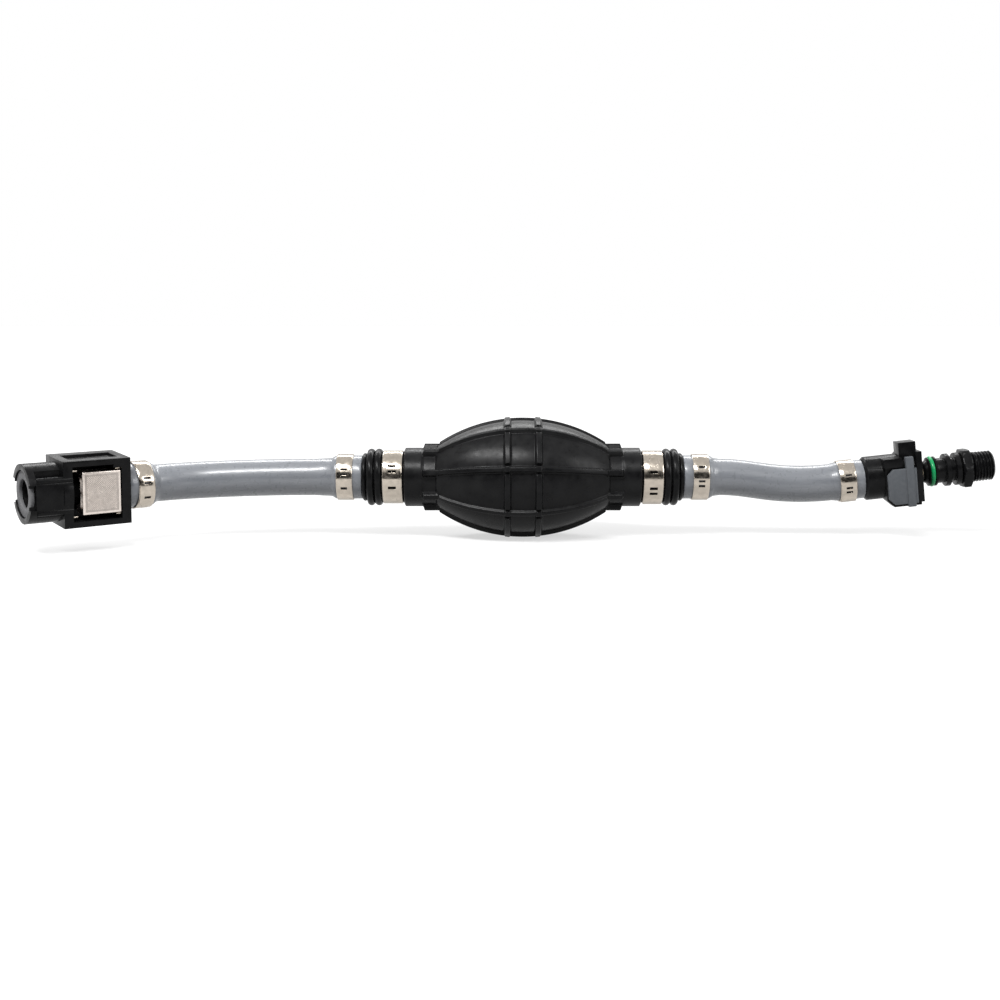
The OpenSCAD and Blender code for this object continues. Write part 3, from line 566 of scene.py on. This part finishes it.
HOSE_LEAD = 15.0
HOSE_START = FITTING["hose"]
HOSE_SIDES = 64
BEND_STEPS = 24
END_GAP = 0.1
# each run: straight length, roll and radius of the bend after it, its angle
INLET_RUNS = ((HOSE_LEAD + 7.2, -5.6, 220.0, 12.5), (0.0, 1.6, 62.0, 23.0),
              (HOSE_LEAD, 0.0, 0.0, 0.0))
OUTLET_RUNS = ((HOSE_LEAD + 2.0, -90.0, 90.0, 8.0), (8.0, 96.0, 120.0, 14.5),
               (HOSE_LEAD, 0.0, 0.0, 0.0))


def shifted(place, x, y=0.0, z=0.0):
    return place @ Matrix.Translation(Vector((x, y, z)) * MM)


def after_run(place, straight, roll, radius, angle):
    """The frame at the end of a straight stretch and the bend after it."""
    bend = shifted(place, straight) @ Matrix.Rotation(math.radians(roll), 4, "X")
    bend = shifted(bend, 0, radius) @ Matrix.Rotation(math.radians(angle), 4, "Z")
    return shifted(bend, 0, -radius) @ Matrix.Rotation(math.radians(-roll), 4, "X")


def run_frames(start, runs):
    """The frames at the start of a chain of runs and after each of them."""
    places = [start]
    for run in runs:
        places.append(after_run(places[-1], *run))
    return places


INLET_START = shifted(INLET_SIDE, HOSE_START)
OUTLET_START = shifted(BULB_PLACE, HOSE_START)
CONNECTOR_ROOT = run_frames(INLET_START, INLET_RUNS)[-1]
COUPLING_ROOT = run_frames(OUTLET_START, OUTLET_RUNS)[-1]


def hose_end_rings(s, sleeve):
    """[distance from the end, outer radius, bore radius] of a widened hose end."""
    wide = sleeve - (s.hose_radius - s.bore_radius)
    out = []
    rows = ((0.0, -0.35), (0.12, -0.12), (0.4, 0.0), (2.0, 0.05), (4.0, 0.0), (4.6, -0.12),
            (7.8, -0.2), (11.0, -0.12), (11.8, 0.0), (12.4, -0.15), (13.2, -0.6), (14.0, -1.15))
    fall = (sleeve - s.hose_radius) / 1.6
    for distance, swell in rows:
        out.append((distance, sleeve + min(swell, 0.0) * (fall if distance > 12 else 1.0), wide))
    return out


def make_hose(s, name, node, start, runs, end_sleeve):
    """One tube with its bore, swept along the runs."""
    places = run_frames(start, runs)
    finish = places[-1]
    rows = [(shifted(start, d), r, b) for d, r, b in hose_end_rings(s, s.sleeve_radius)]
    for place, (straight, roll, radius, angle) in zip(places, runs[:-1]):
        for k in range(0 if straight > 0 else 1, BEND_STEPS + 1):
            at = after_run(place, straight, roll, radius, angle * k / BEND_STEPS)
            rows.append((at, s.hose_radius, s.bore_radius))
    rows += [(shifted(finish, -d), r, b)
             for d, r, b in reversed(hose_end_rings(s, end_sleeve))]
    circles = [(p, r) for p, r, b in rows] + [(p, b) for p, r, b in reversed(rows)]
    rings = [[spoke(p, 0, r, a) for a in round_turn(HOSE_SIDES)] for p, r in circles]
    settle(sharpen(skin(name, rings), 50), node, "hose")


# ---------------------------------------------------------------- band clamps

BAND_AT = 4.1
NECK_BAND_AT = FITTING["grip_end"] - 9.3
BAND_PLAY = 0.05
# round the clamp, in degrees: the punched slots, the lap's ends and the ear
BAND_SLOTS = (20.0, 8.0, -27.0)
LAP_END = 62
EAR_AT = 180
EAR_HALF = 6.0
EAR_WALL = 7.0
EAR_RISE = 1.9
EAR_SHARE = 0.7
BOX_FACES = [(0, 1, 3, 2), (4, 6, 7, 5), (0, 4, 5, 1), (2, 3, 7, 6), (0, 2, 6, 4),
             (1, 5, 7, 3)]


def band_strip(place, radius, width, thick, first, last, ends=None, slots=(), step=3.0):
    """A curved strip round X between two angles (degrees), with optional slots."""
    count = max(8, int(abs(last - first) / step))
    across = [-0.5, -0.47, -0.21, 0.21, 0.47, 0.5]
    mesh = bmesh.new()
    grid = []
    for a in spaced(first, last, count):
        share = ends(a) if ends else 1.0
        row = []
        for u in across:
            lip = 0.1 if abs(u) == 0.5 else 0.0
            row.append(mesh.verts.new(
                spoke(place, u * width * share, radius - lip, math.radians(a))))
        grid.append(row)
    for i in range(count):
        a = first + (last - first) * (i + 0.5) / count
        for k in range(len(across) - 1):
            if k == 2 and any(abs((a - slot + 180) % 360 - 180) < step for slot in slots):
                continue
            mesh.faces.new((grid[i][k], grid[i][k + 1], grid[i + 1][k + 1], grid[i + 1][k]))
    bmesh.ops.recalc_face_normals(mesh, faces=mesh.faces)
    some = next(iter(mesh.faces))
    if some.normal.dot(some.calc_center_median() - place.translation) < 0:
        bmesh.ops.reverse_faces(mesh, faces=mesh.faces)
    thing = object_of("strip", mesh, smooth=False)
    solid = thing.modifiers.new("wall", "SOLIDIFY")
    solid.thickness = thick * MM
    solid.offset = -1.0
    bevelled(thing, 0.09, 2, 40)
    return apply_modifiers(thing)


def joined(name, things):
    """Several meshes as one object."""
    mesh = bmesh.new()
    for thing in things:
        mesh.from_mesh(thing.data)
        bpy.data.objects.remove(thing)
    return sharpen(object_of(name, mesh), 35)


def lap_share(angle):
    """The lap's width, as a share, where it narrows to its tongue."""
    return 1.0 if angle > -46 else 0.42 + 0.58 * ease((angle + 54) / 8)


def ear_wall(centre, side, low, high, half_wide, thick):
    """One of the two plates that carry the pinched ear."""
    a = math.radians(EAR_AT + side * EAR_WALL)
    out = Vector((0, math.cos(a), math.sin(a)))
    flat = Vector((0, -math.sin(a), math.cos(a)))
    corners = [X_AXIS * x + out * r + flat * f for x in (-half_wide, half_wide)
               for r in (low, high) for f in (-thick / 2, thick / 2)]
    data = bpy.data.meshes.new("ear_wall")
    data.from_pydata([centre @ (c * MM) for c in corners], [], BOX_FACES)
    return plain_object("ear_wall", data)


def make_clamp(s, name, node, place, radius, width, facing):
    """One-piece clamp: inner band, lapped end with slots and tongue, pinched ear."""
    centre = shifted(place, width / 2) @ Matrix.Rotation(math.radians(facing), 4, "X")
    outer = radius + BAND_PLAY + s.band
    parts = [
        band_strip(centre, outer, width, s.band, 0, 360, slots=BAND_SLOTS),
        band_strip(centre, outer + s.band * 0.9, width - 0.5, s.band * 0.8, -LAP_END,
                   LAP_END, lap_share, BAND_SLOTS),
        band_strip(centre, outer + EAR_RISE, width * EAR_SHARE, s.band, EAR_AT - EAR_HALF,
                   EAR_AT + EAR_HALF, step=2.0)]
    parts += [ear_wall(centre, side, outer - 0.3, outer + EAR_RISE, width * EAR_SHARE / 2,
                       s.band) for side in (-1, 1)]
    settle(joined(name, parts), node, "band_steel")


def make_clamps(line, bulb):
    """The six clamps: object, node, root, place along it, radius, width, turn."""
    grip, sleeve, end_sleeve = bulb.grip_radius, line.sleeve_radius, line.end_sleeve_radius
    neck, wide = line.neck_band, line.hose_band
    back = -BAND_AT - wide
    for name, node, root, at, radius, width, facing in (
            ("neck_band_inlet", "neck_clamp_inlet", INLET_SIDE, NECK_BAND_AT, grip, neck, 10),
            ("neck_band_outlet", "neck_clamp_outlet", BULB_PLACE, NECK_BAND_AT, grip, neck,
             190),
            ("hose_band_inlet", "clamp_inlet_bulb", INLET_START, BAND_AT, sleeve, wide, 5),
            ("hose_band_connector", "clamp_inlet_end", CONNECTOR_ROOT, back, sleeve, wide, 0),
            ("hose_band_outlet", "clamp_outlet_bulb", OUTLET_START, BAND_AT, sleeve, wide,
             175),
            ("hose_band_coupling", "clamp_outlet_end", COUPLING_ROOT, back, end_sleeve, wide,
             185)):
        make_clamp(line, name, node, shifted(root, at), radius, width, facing)


# ---------------------------------------------------------------- plug

COUPLING_PLACE = shifted(COUPLING_ROOT, END_GAP)
COUPLING_LENGTH = 24.5
PLUG_GAP = 2.8
PLUG_PLACE = shifted(COUPLING_PLACE, COUPLING_LENGTH + PLUG_GAP)
HEX_FLATS = 16.7
HEX_FROM, HEX_TO = 17.1, 21.5
THREAD_PITCH = 25.4 / 18
THREAD_FROM, THREAD_TO = 22.9, 30.9
THREAD_STEPS = 110
THREAD_RADIUS = 6.84
THREAD_DEPTH = 0.85
O_RING = dict(at=3.8, middle=6.05, wire=0.93)


def thread_shape(station, angle, radius):
    """Hexagon and helical crests on the turned plug."""
    if HEX_FROM < station < HEX_TO and radius > 8:
        sector = (angle % (math.pi / 3)) - math.pi / 6
        return min(radius, HEX_FLATS / 2 / math.cos(sector))
    if THREAD_FROM < station < THREAD_TO:
        phase = (station / THREAD_PITCH - angle / (2 * math.pi)) % 1
        crest = 1 - min(1, abs(phase - 0.5) / 0.42)
        ends = ease((station - THREAD_FROM) / 0.8) * ease((THREAD_TO - station) / 0.6)
        return radius - THREAD_DEPTH * (1 - min(1.0, crest * 1.25)) * ends
    return radius


def make_plug():
    nose = [(0, 2.6), (0, 3.9), (0.12, 4.3), (0.7, 4.85), (1.0, 4.95), (1.8, 5.35),
            (2.2, 6.35), (2.35, 6.58), (2.6, 6.6), (2.62, 6.5), (2.62, 5.1), (4.98, 5.1),
            (5.0, 6.6), (5.12, 6.76), (5.75, 6.78), (5.88, 6.65), (5.95, 5.78), (6.1, 5.7),
            (9.5, 5.7)]
    flanges = [(9.6, 5.8), (9.75, 7.2), (10.0, 7.45), (11.8, 7.48), (11.98, 7.3),
               (12.02, 5.55), (12.2, 5.4), (14.2, 5.4), (14.38, 5.55), (14.42, 7.3),
               (14.6, 7.47), (16.4, 7.47), (16.58, 7.3), (16.6, 5.5), (17.15, 5.45)]
    hexagon = [(17.2, 8.25), (17.5, 8.8), (17.9, 9.6), (20.7, 9.6), (21.1, 8.8),
               (21.38, 8.25), (21.4, 5.5), (22.2, 5.5), (22.45, 6.15)]
    # the pipe thread is tapered, 1 in 60 on its radius
    thread = [(x, THREAD_RADIUS - (x - THREAD_FROM) / 60)
              for x in spaced(THREAD_FROM, THREAD_TO, THREAD_STEPS)]
    mouth = [(31.3, 6.15), (31.62, 5.8), (31.68, 5.6), (31.68, 3.3), (31.5, 3.2)]
    bore = [(27.7, 3.2), (27.7, 3.6), (1.0, 3.6), (1.0, 2.6)]
    profile = nose + flanges + hexagon + thread + mouth + bore
    plug = sharpen(turned("threaded_plug", PLUG_PLACE, profile, 120, thread_shape), 38)
    settle(plug, "plug_body", "black_plastic", "plug_nose")
    ring = [(O_RING["at"] + O_RING["wire"] * math.cos(t),
             O_RING["middle"] + O_RING["wire"] * math.sin(t)) for t in round_turn(20)]
    settle(turned("green_o_ring", PLUG_PLACE, ring), "plug_o_ring", "green_seal")


# ---------------------------------------------------------------- release button

BOX_ROLL = -4
CONNECTOR_PLACE = shifted(CONNECTOR_ROOT, END_GAP) @ Matrix.Rotation(
    math.radians(BOX_ROLL), 4, "X")
QUARTER_X = Matrix.Rotation(math.radians(90), 4, "X")
QUARTER_Z = Matrix.Rotation(math.radians(90), 4, "Z")
BUTTON = dict(x=4.3, front=11.2, wide=17.0, high=18.6, rim=1.1)
DIMPLE = dict(pitch=0.86, radius=0.25, flat=0.6)
RIDGE = dict(gap=1.3, radius=0.26, behind=2.1, stretch=(1.0, 30.0, 0.7))


def rounded_slab(name, place, low, high, width):
    """A box between two corners with rounded edges."""
    mesh = bmesh.new()
    bmesh.ops.create_cube(mesh, size=1.0)
    middle, extent = (low + high) / 2, high - low
    for v in mesh.verts:
        v.co = Vector((v.co.x * extent.x, v.co.y * extent.y, v.co.z * extent.z)) + middle
    bmesh.ops.bevel(mesh, geom=mesh.edges[:], offset=width, segments=3, profile=0.5,
                    affect="EDGES", clamp_overlap=True)
    for v in mesh.verts:
        v.co = place @ (v.co * MM)
    bmesh.ops.recalc_face_normals(mesh, faces=mesh.faces)
    return sharpen(object_of(name, mesh), 40)


def repeat_tree():
    """Node tree: small domes on two interleaved grids of points."""
    tree = bpy.data.node_groups.new("domes_on_grids", "GeometryNodeTree")
    sockets = {}
    for name, kind in (("Across", "NodeSocketInt"), ("Up", "NodeSocketInt"),
                       ("Width", "NodeSocketFloat"), ("Height", "NodeSocketFloat"),
                       ("Offset", "NodeSocketVector"), ("Radius", "NodeSocketFloat"),
                       ("Stretch", "NodeSocketVector"), ("Material", "NodeSocketMaterial")):
        sockets[name] = tree.interface.new_socket(name=name, in_out="INPUT",
                                                  socket_type=kind).identifier
    tree.interface.new_socket(name="Geometry", in_out="OUTPUT",
                              socket_type="NodeSocketGeometry")
    given = add(tree, "NodeGroupInput").outputs
    grid = add(tree, "GeometryNodeMeshGrid", links={
        "Size X": given["Width"], "Size Y": given["Height"],
        "Vertices X": given["Across"], "Vertices Y": given["Up"]})
    second = add(tree, "GeometryNodeTransform", links={
        "Geometry": grid.outputs["Mesh"], "Translation": given["Offset"]})
    both = add(tree, "GeometryNodeJoinGeometry")
    tree.links.new(grid.outputs["Mesh"], both.inputs[0])
    tree.links.new(second.outputs["Geometry"], both.inputs[0])
    dome = add(tree, "GeometryNodeMeshIcoSphere", {"Subdivisions": 1},
               {"Radius": given["Radius"]})
    spread = add(tree, "GeometryNodeInstanceOnPoints", links={
        "Points": both.outputs[0], "Instance": dome.outputs["Mesh"],
        "Scale": given["Stretch"]})
    real = add(tree, "GeometryNodeRealizeInstances", links={"Geometry": spread.outputs[0]})
    dressed = add(tree, "GeometryNodeSetMaterial", links={
        "Geometry": real.outputs[0], "Material": given["Material"]})
    add(tree, "NodeGroupOutput", links={"Geometry": dressed.outputs[0]})
    return tree, sockets


def domes(name, place, values, node):
    """Runs the dome tree once and bakes it at place; lengths in mm."""
    tree, sockets = repeat_tree()
    thing = plain_object(name, bpy.data.meshes.new(name))
    modifier = thing.modifiers.new("repeat", "NODES")
    modifier.node_group = tree
    for key, value in values.items():
        modifier[sockets[key]] = value
    bpy.context.view_layer.update()
    apply_modifiers(thing)
    thing.data.transform(place)
    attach(thing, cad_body(node))


def make_button():
    """The folded sheet, its pressed panel with dimples and the ridges at its side."""
    b = BUTTON
    thing = softened("release_button", "folded_button", 0.5, 4)
    settle(thing, "release_button", "button_steel")
    wide, high = b["wide"] - 2 * b["rim"], b["high"] - 2 * b["rim"]
    middle = b["x"] + b["wide"] / 2
    low = Vector((middle - wide / 2, b["front"] - 0.3, -high / 2))
    top = Vector((middle + wide / 2, b["front"] + 0.06, high / 2))
    panel = rounded_slab("pressed_panel", CONNECTOR_PLACE, low, top, 0.05)
    # the panel's dimmed steel is painted shade, darker than the rim of the same sheet
    panel.data.materials.append(FINISH["dimpled_steel"])
    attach(panel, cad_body("release_button"))
    pitch = DIMPLE["pitch"]
    across, up = int((wide - 1.2) / pitch), int((high - 1.2) / pitch)
    front = shifted(CONNECTOR_PLACE, middle - pitch / 4, b["front"] + 0.05, -pitch / 4)
    domes("panel_dimples", front @ QUARTER_X, dict(
        Across=across, Up=up, Width=(across - 1) * pitch * MM, Height=(up - 1) * pitch * MM,
        Offset=(pitch / 2 * MM, pitch / 2 * MM, 0.0), Radius=DIMPLE["radius"] * MM,
        Stretch=(1.0, 1.0, DIMPLE["flat"]), Material=FINISH["button_steel"]),
        "release_button")
    side = shifted(CONNECTOR_PLACE, b["x"] + b["wide"], b["front"] - RIDGE["behind"])
    domes("side_ridges", side @ QUARTER_Z @ QUARTER_X, dict(
        Across=2, Up=1, Width=RIDGE["gap"] * MM, Height=0.0,
        Offset=(RIDGE["gap"] / 2 * MM, 0.0, 0.0), Radius=RIDGE["radius"] * MM,
        Stretch=RIDGE["stretch"], Material=FINISH["button_steel"]),
        "release_button")


# ---------------------------------------------------------------- springs

PRESSED_BY = (("inlet_spring", "inlet_valve_lift"), ("outlet_spring", "outlet_valve_lift"),
              ("release_springs", "button_press"), ("socket_spring", "socket_valve_push"),
              ("coupling_spring", "coupling_valve_push"), ("plug_spring", "plug_valve_push"))


def make_spring(node):
    """Copies a coil as an object of its own, with its finish and body."""
    mesh = frame["nodes"][node].data.copy()
    thing = plain_object(node.replace("spring", "coil"), mesh)
    settle(thing, node, "spring_steel")
    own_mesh(thing)


# ---------------------------------------------------------------- stage

FLOOR_REACH = 6.0
FLOOR_GREY = "#989898"
# the paper's glow grows with the distance, in metres, from this point of the floor
GLOW_CENTRE = (0.2, 0.04, 0.0)
GLOW = {"From Min": 0.25, "From Max": 0.9, "To Min": 0.6, "To Max": 1.0}
CARD_GREY = "#1c1c1c"
CARD = dict(half=1.6, behind=-1.0, high=0.62)
WORLD_SHOWN, WORLD_LIGHT = 0.6, 0.4
# each lamp: place in metres, power in watts, width and depth in metres
LAMPS = (("key_panel", (-0.25, -0.45, 0.75), 12.0, 0.7, 0.16),
         ("side_panel", (0.65, -0.35, 0.45), 2.5, 0.35, 0.35),
         ("rim_panel", (0.0, 0.55, 0.6), 5.0, 1.0, 0.15))
# the middle of the picture, in mm to the right of the bulb's centre and above it
AIM_RIGHT, AIM_UP = -10.35, -10.6


def seen_directly(tree):
    """1 for the rays that show the background: seen, mirrored or looked through."""
    rays = add(tree, "ShaderNodeLightPath").outputs
    either = add(tree, "ShaderNodeMath", operation="MAXIMUM")
    tree.links.new(rays["Is Camera Ray"], either.inputs[0])
    tree.links.new(rays["Is Glossy Ray"], either.inputs[1])
    shown = add(tree, "ShaderNodeMath", operation="MAXIMUM")
    tree.links.new(either.outputs[0], shown.inputs[0])
    tree.links.new(rays["Is Transmission Ray"], shown.inputs[1])
    return shown.outputs[0]


def flat_panel(name, corners, material):
    data = bpy.data.meshes.new(name)
    data.from_pydata(corners, [], [(0, 1, 2, 3)])
    data.materials.append(material)
    return plain_object(name, data)


def make_floor():
    """Grey paper that glows white to the rays that show it, less so near the object."""
    material, tree, shader, where = surface("pale_paper")
    set_inputs(shader, {"Base Color": srgb(FLOOR_GREY), "Roughness": 0.9,
                        "Specular IOR Level": 0.1, "Emission Color": (1, 1, 1, 1)})
    far = add(tree, "ShaderNodeVectorMath", {1: GLOW_CENTRE}, {0: where},
              operation="DISTANCE")
    glow = add(tree, "ShaderNodeMapRange", GLOW, {"Value": far.outputs["Value"]})
    shown = add(tree, "ShaderNodeMath", links={0: seen_directly(tree),
                                               1: glow.outputs["Result"]},
                operation="MULTIPLY")
    tree.links.new(shown.outputs[0], shader.inputs["Emission Strength"])
    reach = FLOOR_REACH
    flat_panel("pale_floor", [(-reach, -reach, 0), (reach, -reach, 0),
                                       (reach, reach, 0), (-reach, reach, 0)], material)


def make_dark_card():
    """A black card behind the camera, which gives gloss and metal their dark bands."""
    material, _, shader, _ = surface("black_card")
    set_inputs(shader, {"Base Color": srgb(CARD_GREY), "Roughness": 0.9})
    half, behind, high = CARD["half"], CARD["behind"], CARD["high"]
    card = flat_panel("dark_card", [(-half, behind, 0.0), (half, behind, 0.0),
                                    (half, behind, high), (-half, behind, high)], material)
    card.visible_camera = False


def make_world(scene):
    """White to the rays that show the background, and a dimmer light to the rest."""
    world = bpy.data.worlds.new("soft_white")
    world.use_nodes = True
    tree = world.node_tree
    back = tree.nodes["Background"]
    set_inputs(back, {"Color": (1, 1, 1, 1)})
    strength = add(tree, "ShaderNodeMath", {1: WORLD_SHOWN, 2: WORLD_LIGHT},
                   {0: seen_directly(tree)}, operation="MULTIPLY_ADD")
    tree.links.new(strength.outputs[0], back.inputs["Strength"])
    scene.world = world


def make_lamps(scene, centre):
    for name, place, power, wide, deep in LAMPS:
        data = bpy.data.lights.new(name, "AREA")
        data.shape = "RECTANGLE"
        data.energy = power
        data.size = wide
        data.size_y = deep
        lamp = bpy.data.objects.new(name, data)
        lamp.location = Vector(place)
        lamp.rotation_euler = (centre - lamp.location).to_track_quat("-Z", "Y").to_euler()
        scene.collection.objects.link(lamp)


def make_camera(scene, centre):
    s = scene.primer_stage
    e = math.radians(s.elevation)
    up = Vector((0, math.sin(e), math.cos(e)))
    aim = centre + X_AXIS * (AIM_RIGHT * MM) + up * (AIM_UP * MM)
    camera = bpy.data.objects.new("view_camera", bpy.data.cameras.new("view_camera"))
    camera.data.lens = s.lens
    away = Vector((0, -math.cos(e), math.sin(e)))
    camera.location = aim + away * s.distance * MM
    camera.rotation_euler = (-away).to_track_quat("-Z", "Y").to_euler()
    scene.collection.objects.link(camera)
    scene.camera = camera


def make_stage(scene):
    scene.view_settings.view_transform = "Standard"
    centre = node_centre("bulb")
    make_floor()
    make_dark_card()
    make_world(scene)
    make_lamps(scene, centre)
    make_camera(scene, centre)


# ---------------------------------------------------------------- operators

class PRIMER_OT_finishes(bpy.types.Operator):
    """Makes the materials of all pieces"""
    bl_idname = "primer.finishes"
    bl_label = "Finishes"

    def execute(self, context):
        make_finishes(context.scene)
        for row in frame["record"]["subparts"]:
            data = frame["nodes"][row["node"]].data
            data.materials.clear()
            data.materials.append(FINISH[row["material_slot"]])
        return {"FINISHED"}


class PRIMER_OT_bulb(bpy.types.Operator):
    """Makes the ribbed rubber bulb"""
    bl_idname = "primer.bulb"
    bl_label = "Bulb"

    def execute(self, context):
        make_bulb(context.scene.primer_bulb)
        return {"FINISHED"}


class PRIMER_OT_fittings(bpy.types.Operator):
    """Makes the two valve fittings"""
    bl_idname = "primer.fittings"
    bl_label = "Valve fittings"

    def execute(self, context):
        make_fitting("inlet_fitting", "inlet_valve_body", INLET_SIDE, 60.0)
        make_fitting("outlet_fitting", "outlet_valve_body", BULB_PLACE, 64.0)
        return {"FINISHED"}


class PRIMER_OT_hoses(bpy.types.Operator):
    """Makes the two hoses"""
    bl_idname = "primer.hoses"
    bl_label = "Hoses"

    def execute(self, context):
        s = context.scene.primer_line
        make_hose(s, "inlet_vinyl_hose", "inlet_hose", INLET_START, INLET_RUNS,
                  s.sleeve_radius)
        make_hose(s, "outlet_vinyl_hose", "outlet_hose", OUTLET_START, OUTLET_RUNS,
                  s.end_sleeve_radius)
        return {"FINISHED"}


class PRIMER_OT_clamps(bpy.types.Operator):
    """Makes the six band clamps"""
    bl_idname = "primer.clamps"
    bl_label = "Clamps"

    def execute(self, context):
        make_clamps(context.scene.primer_line, context.scene.primer_bulb)
        return {"FINISHED"}


class PRIMER_OT_mouldings(bpy.types.Operator):
    """Rounds the edges of the moulded and pressed pieces"""
    bl_idname = "primer.mouldings"
    bl_label = "Mouldings"

    def execute(self, context):
        edge = context.scene.primer_fitting.edge
        for node, name, slot, width in (
                ("connector_housing", "socket_connector", "black_plastic", edge),
                ("coupling_body", "latched_coupling", "black_plastic", edge),
                ("thumb_latch", "grey_thumb_latch", "grey_latch", edge * 0.8),
                ("face_seal", "barrel_seal", "grey_seal", edge)):
            settle(softened(node, name, width), node, slot)
        make_button()
        return {"FINISHED"}


class PRIMER_OT_springs(bpy.types.Operator):
    """Makes the springs as copies of their coils"""
    bl_idname = "primer.springs"
    bl_label = "Springs"

    def execute(self, context):
        for node, joint_name in PRESSED_BY:
            make_spring(node)
        return {"FINISHED"}


class PRIMER_OT_plug(bpy.types.Operator):
    """Makes the threaded plug and its O-ring"""
    bl_idname = "primer.plug"
    bl_label = "Plug"

    def execute(self, context):
        make_plug()
        return {"FINISHED"}


class PRIMER_OT_stage(bpy.types.Operator):
    """Makes the floor, the lights and the camera"""
    bl_idname = "primer.stage"
    bl_label = "Stage"

    def execute(self, context):
        make_stage(context.scene)
        return {"FINISHED"}


class PRIMER_PT_panel(bpy.types.Panel):
    """Lists the pieces of the primer line"""
    bl_idname = "PRIMER_PT_panel"
    bl_label = "Primer line"
    bl_space_type = "VIEW_3D"
    bl_region_type = "UI"
    bl_category = "Primer line"

    def draw(self, context):
        for operator in OPERATORS:
            self.layout.operator(operator.bl_idname)


OPERATORS = (PRIMER_OT_stage, PRIMER_OT_finishes, PRIMER_OT_bulb, PRIMER_OT_fittings,
             PRIMER_OT_hoses, PRIMER_OT_clamps, PRIMER_OT_mouldings, PRIMER_OT_plug,
             PRIMER_OT_springs)
SETTINGS = (("primer_bulb", BulbSettings), ("primer_line", LineSettings),
            ("primer_fitting", FittingSettings), ("primer_stage", StageSettings))


def register():
    for name, group in SETTINGS:
        bpy.utils.register_class(group)
        setattr(bpy.types.Scene, name, PointerProperty(type=group))
    for operator in OPERATORS:
        bpy.utils.register_class(operator)
    bpy.utils.register_class(PRIMER_PT_panel)


def unregister():
    bpy.utils.unregister_class(PRIMER_PT_panel)
    for operator in reversed(OPERATORS):
        bpy.utils.unregister_class(operator)
    for name, group in reversed(SETTINGS):
        delattr(bpy.types.Scene, name)
        bpy.utils.unregister_class(group)


def main():
    register()
    for operator in OPERATORS:
        group, call = operator.bl_idname.split(".")
        getattr(getattr(bpy.ops, group), call)()
    bpy.context.view_layer.update()


if __name__ == "__main__":
    main()
